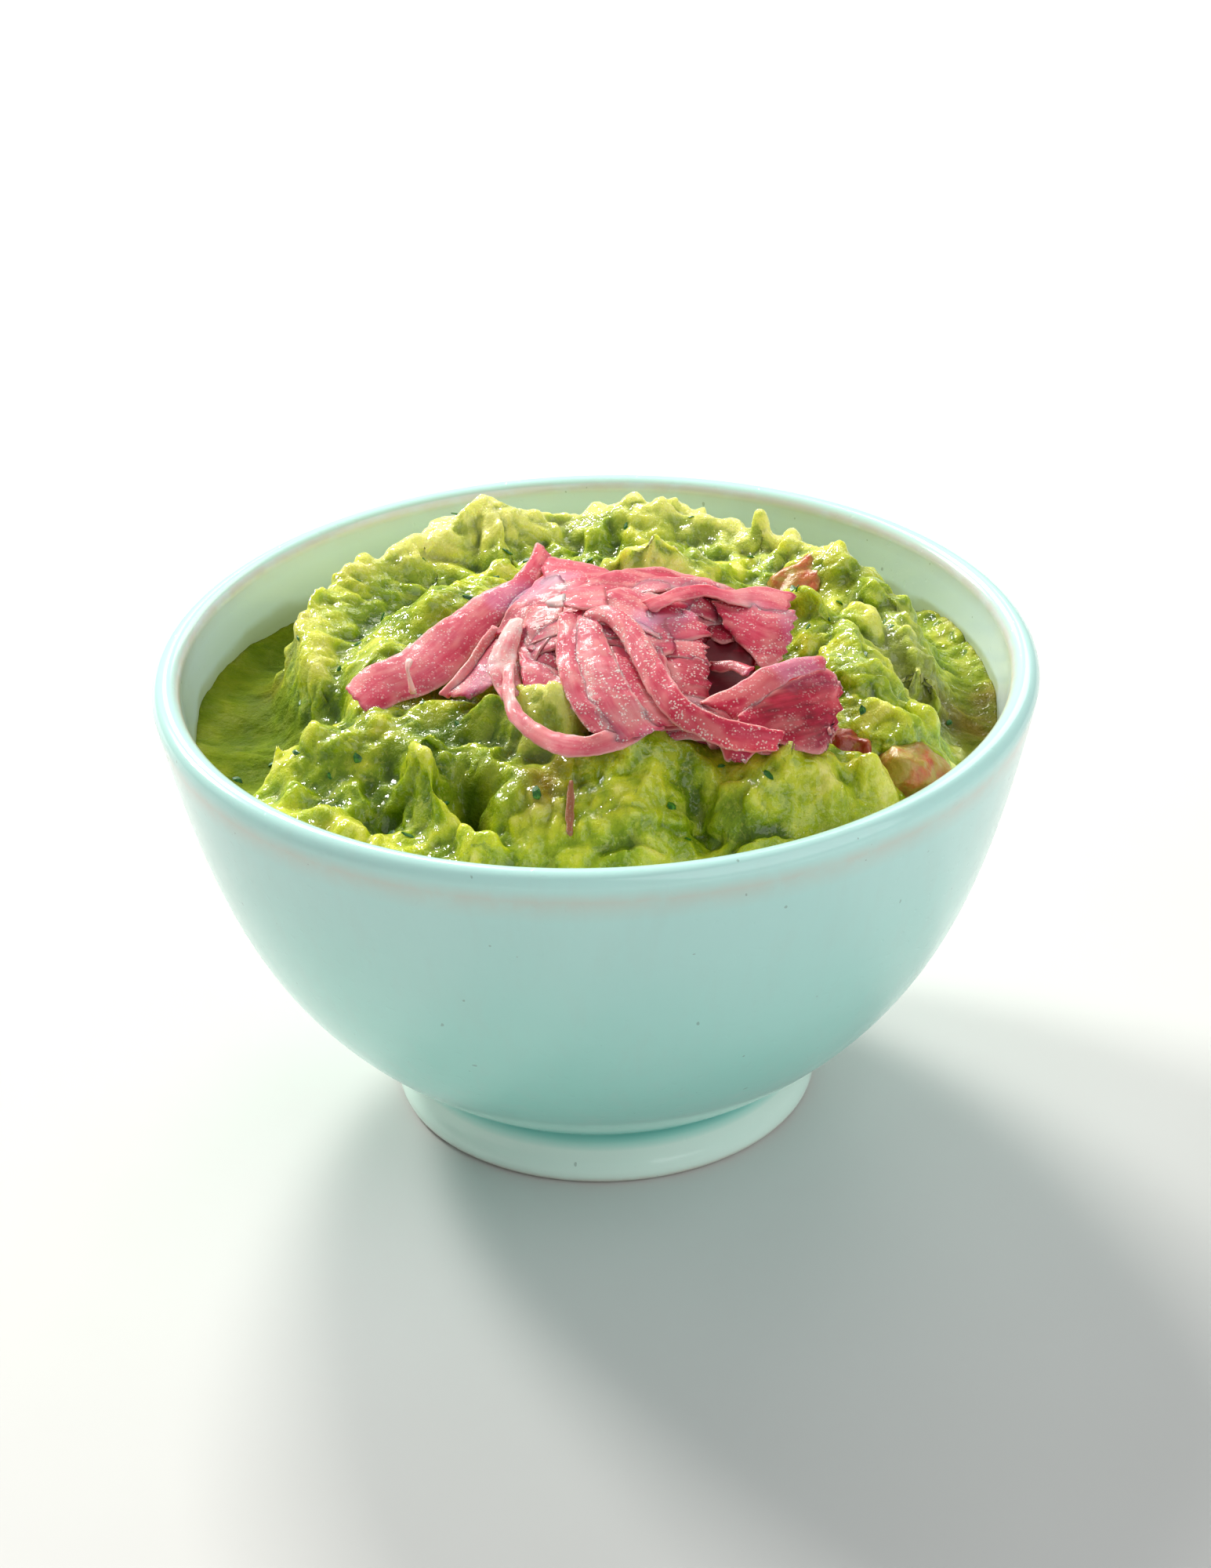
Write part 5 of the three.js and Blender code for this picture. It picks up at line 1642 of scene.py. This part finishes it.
def stripSheet(strip, seed):
    # an open sheet between the edges, with what the node tree needs to give it a body
    if "path" in strip:
        first, second = ribbonEdges(strip)
    else:
        _, long = smoothPath(strip["firstEdge"], 1.0)
        _, short = smoothPath(strip["secondEdge"], 1.0)
        count = max(8, round(max(long, short) / onion["step"]))
        first, second = evenly(strip["firstEdge"], count), evenly(strip["secondEdge"], count)
    columns = onion["columns"][::2] if "plain" in strip else onion["columns"]
    count = len(first) - 1
    middle = (first + second) / 2
    steps = np.linalg.norm(np.diff(middle, axis=0), axis=1)
    walked = np.concatenate([[0], np.cumsum(steps)])
    length = walked[-1]
    points, rows = [], []
    ragStart, ragEnd = strip["ragged"]
    for k in range(count + 1):
        t = walked[k] / length
        along = Vector(middle[min(k + 1, count)] - middle[max(k - 1, 0)]).normalized()
        across = Vector(second[k] - first[k]) / 2
        half = across.length
        nearStart = max(1 - walked[k] / 3, 0)
        nearEnd = max(1 - (length - walked[k]) / 3, 0)
        for s in columns:
            # nicks along the edges and a torn cut at each end
            edge = 3 * math.copysign(1, s)
            nick = noiseAt(walked[k] / 1.7, edge, seed * 3.1) * 0.22
            nick += noiseAt(walked[k] / 0.7, edge, seed * 5.7) * 0.09
            reach = s * (1 + nick / max(half, 0.8) * abs(s) ** 3)
            tear = noiseAt(s * half / 1.6, seed * 2.3, 1.5)
            tear += 0.5 * noiseAt(s * half / 0.6, seed * 4.3, 7.5)
            shift = tear * 1.6 * (ragEnd * nearEnd - ragStart * nearStart)
            rounding = -0.35 * abs(s) ** 8 * (nearEnd - nearStart) ** 3
            points.append(Vector(middle[k]) + across * reach + along * (shift + rounding))
            blush = throughThree(strip["blush"], t)
            rows.append((s, walked[k], half, blush, strip["cup"], strip.get("frost", 0.8)))
    faces = []
    width = len(columns)
    for k in range(count):
        for i in range(width - 1):
            a = k * width + i
            faces.append((a, a + 1, a + width + 1, a + width))
    # the broad face looks up
    rise = 0
    for k in range(count):
        rise += Vector(second[k] - first[k]).cross(Vector(middle[k + 1] - middle[k])).z
    if rise < 0:
        faces = [face[::-1] for face in faces]
    return points, faces, rows


def rotated(x, y, angle):
    return x * math.cos(angle) - y * math.sin(angle), x * math.sin(angle) + y * math.cos(angle)


def wrapStrips():
    # seeded strips bent over the core's mounds, so that the tangle is onion all the way down
    draw = random.Random(23)
    made = []
    for (cx, cy, cz), (hx, hy, hz), heading in onion["core"]:
        base = math.radians(heading)
        for k in range(onion["wraps"]):
            turn = base + draw.uniform(-0.6, 0.6) + (math.pi / 2 if k % 3 == 0 else 0)
            offset = draw.uniform(-0.9, 0.9)
            start = draw.uniform(-0.25, 0.3)
            end = math.pi - draw.uniform(-0.25, 0.3)
            ring = math.sqrt(1 - offset * offset)
            path = []
            for t in np.linspace(start, end, 6):
                # round the unit ball, stretched to the mound's half-sizes and then turned with it
                x, y = rotated(ring * math.cos(t), offset, turn - base)
                x, y = rotated(x * hx, y * hy, base)
                path.append((cx + x, cy + y, cz + ring * math.sin(t) * hz + draw.uniform(0.0, 0.5)))
            tone = draw.uniform(0.35, 0.7)
            made.append({
                "path": path,
                "width": (draw.uniform(2, 3), draw.uniform(3, 5.5), draw.uniform(2, 3)),
                "lean": (-math.sin(turn) * offset * 0.8, math.cos(turn) * offset * 0.8),
                "blush": (tone, tone - 0.1, tone + 0.05), "ragged": (0.5, 0.5), "cup": 0.12,
                "plain": True,
            })
    return made


def onionMaterial():
    colours = onion["colours"]
    material, tree, shader = newMaterial("pickledOnion", {
        "Specular IOR Level": 0.2, "Subsurface Weight": 0.6, "Subsurface Radius": (1.0, 0.4, 0.35),
        "Subsurface Scale": 0.0018, "Coat Weight": 0.12, "Coat Roughness": 0.08,
    })
    place = objectPlace(tree)
    blush = attribute(tree, "blush")
    acrossStrip = attribute(tree, "acrossStrip")
    walked = attribute(tree, "alongStrip")
    across = times(tree, acrossStrip, attribute(tree, "halfWidth"))
    seed = attribute(tree, "stripSeed")

    def grainOf(acrossRate, alongRate, shift, detail, roughness):
        # noise in the strip's own directions, so that it can run along the fibres
        vector = addNode(tree, "ShaderNodeCombineXYZ", {
            0: times(tree, across, acrossRate), 1: times(tree, walked, alongRate),
            2: times(tree, seed, shift),
        }).outputs[0]
        inputs = {"Vector": vector, "Scale": 1.0, "Detail": detail, "Roughness": roughness}
        return addNode(tree, "ShaderNodeTexNoise", inputs).outputs["Fac"]

    fibre = grainOf(1.3, 0.11, 9.0, 4.0, 0.6)
    cloud = noiseOf(tree, place, 6, 3, 0.55)
    strand = grainOf(3.6, 0.3, 4.0, 2.0, 0.6)
    cell = noiseOf(tree, place, 1.0, 3, 0.65)
    tone = blush
    for layer, amount in ((fibre, 0.46), (strand, 0.16), (cell, 0.2), (cloud, 0.7)):
        tone = plus(tree, tone, times(tree, minus(tree, layer, 0.5), amount))
    body = colourRamp(tree, tone, colours["body"])
    # thin places let the light through, and cut edges are paler
    thin = ramp(tree, grainOf(0.35, 0.16, 5.0, 2.0, 0.5), 0.45, 0.65, 0, 0.42)
    bright = ramp(tree, blush, 0.95, 0.6)
    body = mixColour(tree, times(tree, thin, bright), body, paint(*colours["thin"]))
    edge = calc(tree, "ABSOLUTE", acrossStrip)
    edge = times(tree, ramp(tree, edge, 0.84, 1.0, 0, 0.45), ramp(tree, blush, 1.0, 0.85))
    body = mixColour(tree, edge, body, paint(*colours["edge"]))
    # lilac bloom here and there
    bloom = times(tree, ramp(tree, noiseOf(tree, place, 11, 1, 0.5), 0.56, 0.7, 0, 0.35), bright)
    body = mixColour(tree, bloom, body, paint(*colours["bloom"]))
    # white crystals in drifts, and cream flecks
    drift = grainOf(0.55, 0.22, 3.0, 3.0, 0.6)
    grains = addNode(tree, "ShaderNodeTexVoronoi", {"Vector": place, "Scale": 1 / (0.42 * mm)}, feature="F1")
    pick = addNode(tree, "ShaderNodeSeparateXYZ", {0: grains.outputs["Color"]}).outputs["X"]
    grain = ramp(tree, grains.outputs["Distance"], 0.42, 0.26)
    grain = times(tree, grain, ramp(tree, pick, 0.15, 0.4))
    grain = times(tree, grain, ramp(tree, drift, 0.40, 0.56))
    clump = ramp(tree, noiseOf(tree, place, 1.1, 4, 0.75), 0.56, 0.66)
    clump = times(tree, clump, ramp(tree, drift, 0.5, 0.6))
    frost = times(tree, calc(tree, "MAXIMUM", grain, clump), attribute(tree, "frost"))
    frost = times(tree, frost, ramp(tree, blush, 1.0, 0.75, 0.1, 1.0), clamp=True)
    body = mixColour(tree, times(tree, frost, 0.72), body, paint(*colours["salt"]))
    # mash drawn over it
    body = mixColour(tree, attribute(tree, "veil"), body, paint(*colours["veil"]))
    tree.links.new(body, shader.inputs["Base Color"])
    tree.links.new(ramp(tree, cloud, 0.35, 0.65, 0.36, 0.58), shader.inputs["Roughness"])
    relief = plus(tree, times(tree, fibre, 0.35), times(tree, frost, 0.6))
    addBump(tree, shader, relief, 0.09)
    addBump(tree, shader, noiseOf(tree, place, 1.7, 1.5, 0.4), 0.35, "Coat Normal")
    return material


def onionStripTree(material):
    tree, given = newTree("onionStrips", onionForm)
    normal = addNode(tree, "GeometryNodeInputNormal").outputs[0]
    side, along = stored(tree, "acrossStrip"), stored(tree, "alongStrip")
    half = stored(tree, "halfWidth")
    outer = times(tree, side, side)
    across = times(tree, side, half)
    # the sheet droops to its edges, ripples there, and is ribbed along its length
    cup = times(tree, stored(tree, "cup"), given["Cup"])
    droop = times(tree, times(tree, outer, half), cup)
    seed = plus(tree, times(tree, stored(tree, "stripSeed"), 7.0), given["Seed"])
    strand = addNode(tree, "ShaderNodeCombineXYZ", {
        0: times(tree, across, 0.22), 1: times(tree, along, 0.24), 2: seed,
    }).outputs[0]
    waveInputs = {"Vector": strand, "Scale": 1.0, "Detail": 2.0, "Roughness": 0.5}
    wave = minus(tree, addNode(tree, "ShaderNodeTexNoise", waveInputs).outputs["Fac"], 0.5)
    reach = plus(tree, times(tree, outer, 2.0), 0.5)
    wave = times(tree, times(tree, wave, reach), given["Ruffle"])
    furrows = plus(tree, across, times(tree, wave, 0.8))
    furrows = times(tree, calc(tree, "DIVIDE", furrows, given["Rib Width"]), 6.28)
    rib = times(tree, calc(tree, "SINE", furrows), given["Rib Depth"])
    height = plus(tree, minus(tree, wave, droop), rib)
    bent = addNode(tree, "GeometryNodeSetPosition", {
        "Geometry": given["Geometry"],
        "Offset": scaled(tree, normal, times(tree, height, mm)),
    }).outputs[0]
    # the sheet is doubled: a raised copy with side walls, and the sheet itself turned over
    atEdge = calc(tree, "POWER", calc(tree, "ABSOLUTE", side), 24.0)
    lost = times(tree, atEdge, minus(tree, 1.0, given["Edge Share"]))
    body = times(tree, given["Thickness"], minus(tree, 1.0, lost))
    raised = addNode(tree, "GeometryNodeExtrudeMesh", {
        "Mesh": bent, "Offset Scale": 0.1 * mm, "Individual": False,
    }, mode="FACES")
    lift = minus(tree, times(tree, body, mm), 0.1 * mm)
    top = addNode(tree, "GeometryNodeSetPosition", {
        "Geometry": raised.outputs["Mesh"], "Selection": raised.outputs["Top"],
        "Offset": scaled(tree, normal, lift),
    }).outputs[0]
    under = addNode(tree, "GeometryNodeFlipFaces", {"Mesh": bent}).outputs[0]
    both = addNode(tree, "GeometryNodeJoinGeometry", {"Geometry": top})
    tree.links.new(under, both.inputs[0])
    merge = {"Geometry": both.outputs[0], "Distance": 0.005 * mm}
    closed = addNode(tree, "GeometryNodeMergeByDistance", merge).outputs[0]
    soft = {"Geometry": closed, "Shade Smooth": True}
    finishTree(tree, addNode(tree, "GeometryNodeSetShadeSmooth", soft).outputs[0], material)
    return tree


def stripPiece(name, chosen, material):
    # all the chosen strips as one piece, each with a seed of its own
    points, faces, rows, seeds = [], [], [], []
    for number, strip in enumerate(chosen):
        newPoints, newFaces, newRows = stripSheet(strip, number)
        start = len(points)
        points += newPoints
        faces += [tuple(start + i for i in face) for face in newFaces]
        rows += newRows
        seeds += [number / 7.0] * len(newPoints)
    piece = newPiece(name, np.array(points) * mm, faces)
    rows = np.array(rows)
    for column, label in enumerate(("acrossStrip", "alongStrip", "halfWidth", "blush", "cup", "frost")):
        setAttribute(piece, label, rows[:, column])
    setAttribute(piece, "stripSeed", seeds)
    applyTree(piece, onionStripTree(material), onionForm)
    return piece


def coreShape():
    # the mounds under the strips, a little smaller than what the seeded strips bend over
    shape = bmesh.new()
    for centre, half, heading in onion["core"]:
        place = Matrix.Translation(Vector(centre)) @ Matrix.Rotation(math.radians(heading), 4, "Z")
        grown = place @ Matrix.Diagonal((*[h - onion["coreInset"] for h in half], 1))
        bmesh.ops.create_icosphere(shape, subdivisions=5, radius=1, matrix=grown)
    for vertex in shape.verts:
        ridge = noise.noise(vertex.co / 3.0) * 0.8 + noise.noise(vertex.co / 1.2) * 0.25
        vertex.co = (vertex.co + vertex.normal * ridge) * mm
    return shape


def makeOnion():
    material = onionMaterial()
    tangle = stripPiece("onionStrips", list(strips.values()) + wrapStrips(), material)
    keep(tangle, "pickled_onion")
    skin = stripPiece("onionSliver", [sliver], material)
    setEverywhere(skin, "veil", onion["sliverVeil"])
    keep(skin, "guacamole")
    core = pieceOfShape("onionCore", coreShape(), material)
    for name, value in onion["coreLooks"].items():
        setEverywhere(core, name, value)
    keep(core, "pickled_onion")


studio = {
    "floorSize": 6.0,
    "floorTones": [(206, 206, 204), (212, 212, 211)],
    "skyColour": (0.97, 0.98, 0.97, 1.0),
    "skyStrength": 0.35,
    "aim": (0, 0, 0.06),
    "lamps": {
        # the key comes from behind
        "keyLamp": {
            "place": (-0.30, 1.15, 0.95), "size": 0.34, "power": 18.5, "colour": (1.0, 0.97, 0.90),
        },
        # a small lamp at the back left makes the glints
        "gleamLamp": {
            "place": (-0.85, 0.85, 0.85), "size": 0.26, "power": 15.0, "colour": (1.0, 0.98, 0.93),
        },
        # a broad soft one at the front right, and a weak one at the back right
        "softLamp": {"place": (0.8, -0.7, 0.9), "size": 1.4, "power": 9.0, "colour": (0.98, 0.99, 1.0)},
        "backLamp": {"place": (0.45, 1.1, 0.9), "size": 0.6, "power": 3.0, "colour": (1.0, 0.99, 0.95)},
    },
}


def addLamp(name, lamp):
    data = bpy.data.lights.new(name, "AREA")
    data.size = lamp["size"]
    data.energy = lamp["power"]
    data.color = lamp["colour"]
    light = bpy.data.objects.new(name, data)
    light.location = lamp["place"]
    aim = Vector(studio["aim"]) - Vector(lamp["place"])
    light.rotation_euler = aim.to_track_quat("-Z", "Y").to_euler()
    bpy.context.scene.collection.objects.link(light)


def makeStudio():
    half = studio["floorSize"] / 2
    corners = [(-half, -half, 0), (half, -half, 0), (half, half, 0), (-half, half, 0)]
    material, tree, shader = newMaterial("paleFloor", {"Roughness": 0.7})
    mottle = noiseOf(tree, objectPlace(tree), 60, 3, 0.5)
    low, high = studio["floorTones"]
    tone = mixColour(tree, mottle, paint(*low), paint(*high))
    tree.links.new(tone, shader.inputs["Base Color"])
    newPiece("floor", corners, [(0, 1, 2, 3)], material)
    world = bpy.data.worlds.new("softRoom")
    world.use_nodes = True
    sky = world.node_tree.nodes["Background"]
    sky.inputs["Color"].default_value = studio["skyColour"]
    sky.inputs["Strength"].default_value = studio["skyStrength"]
    bpy.context.scene.world = world
    for name, lamp in studio["lamps"].items():
        addLamp(name, lamp)
    bpy.context.scene.view_settings.view_transform = "Standard"


makeBowl()
filling = makeMash()
makeHerb(surfaceOf(filling))
makeTomato()
makeOnion()
makeStudio()
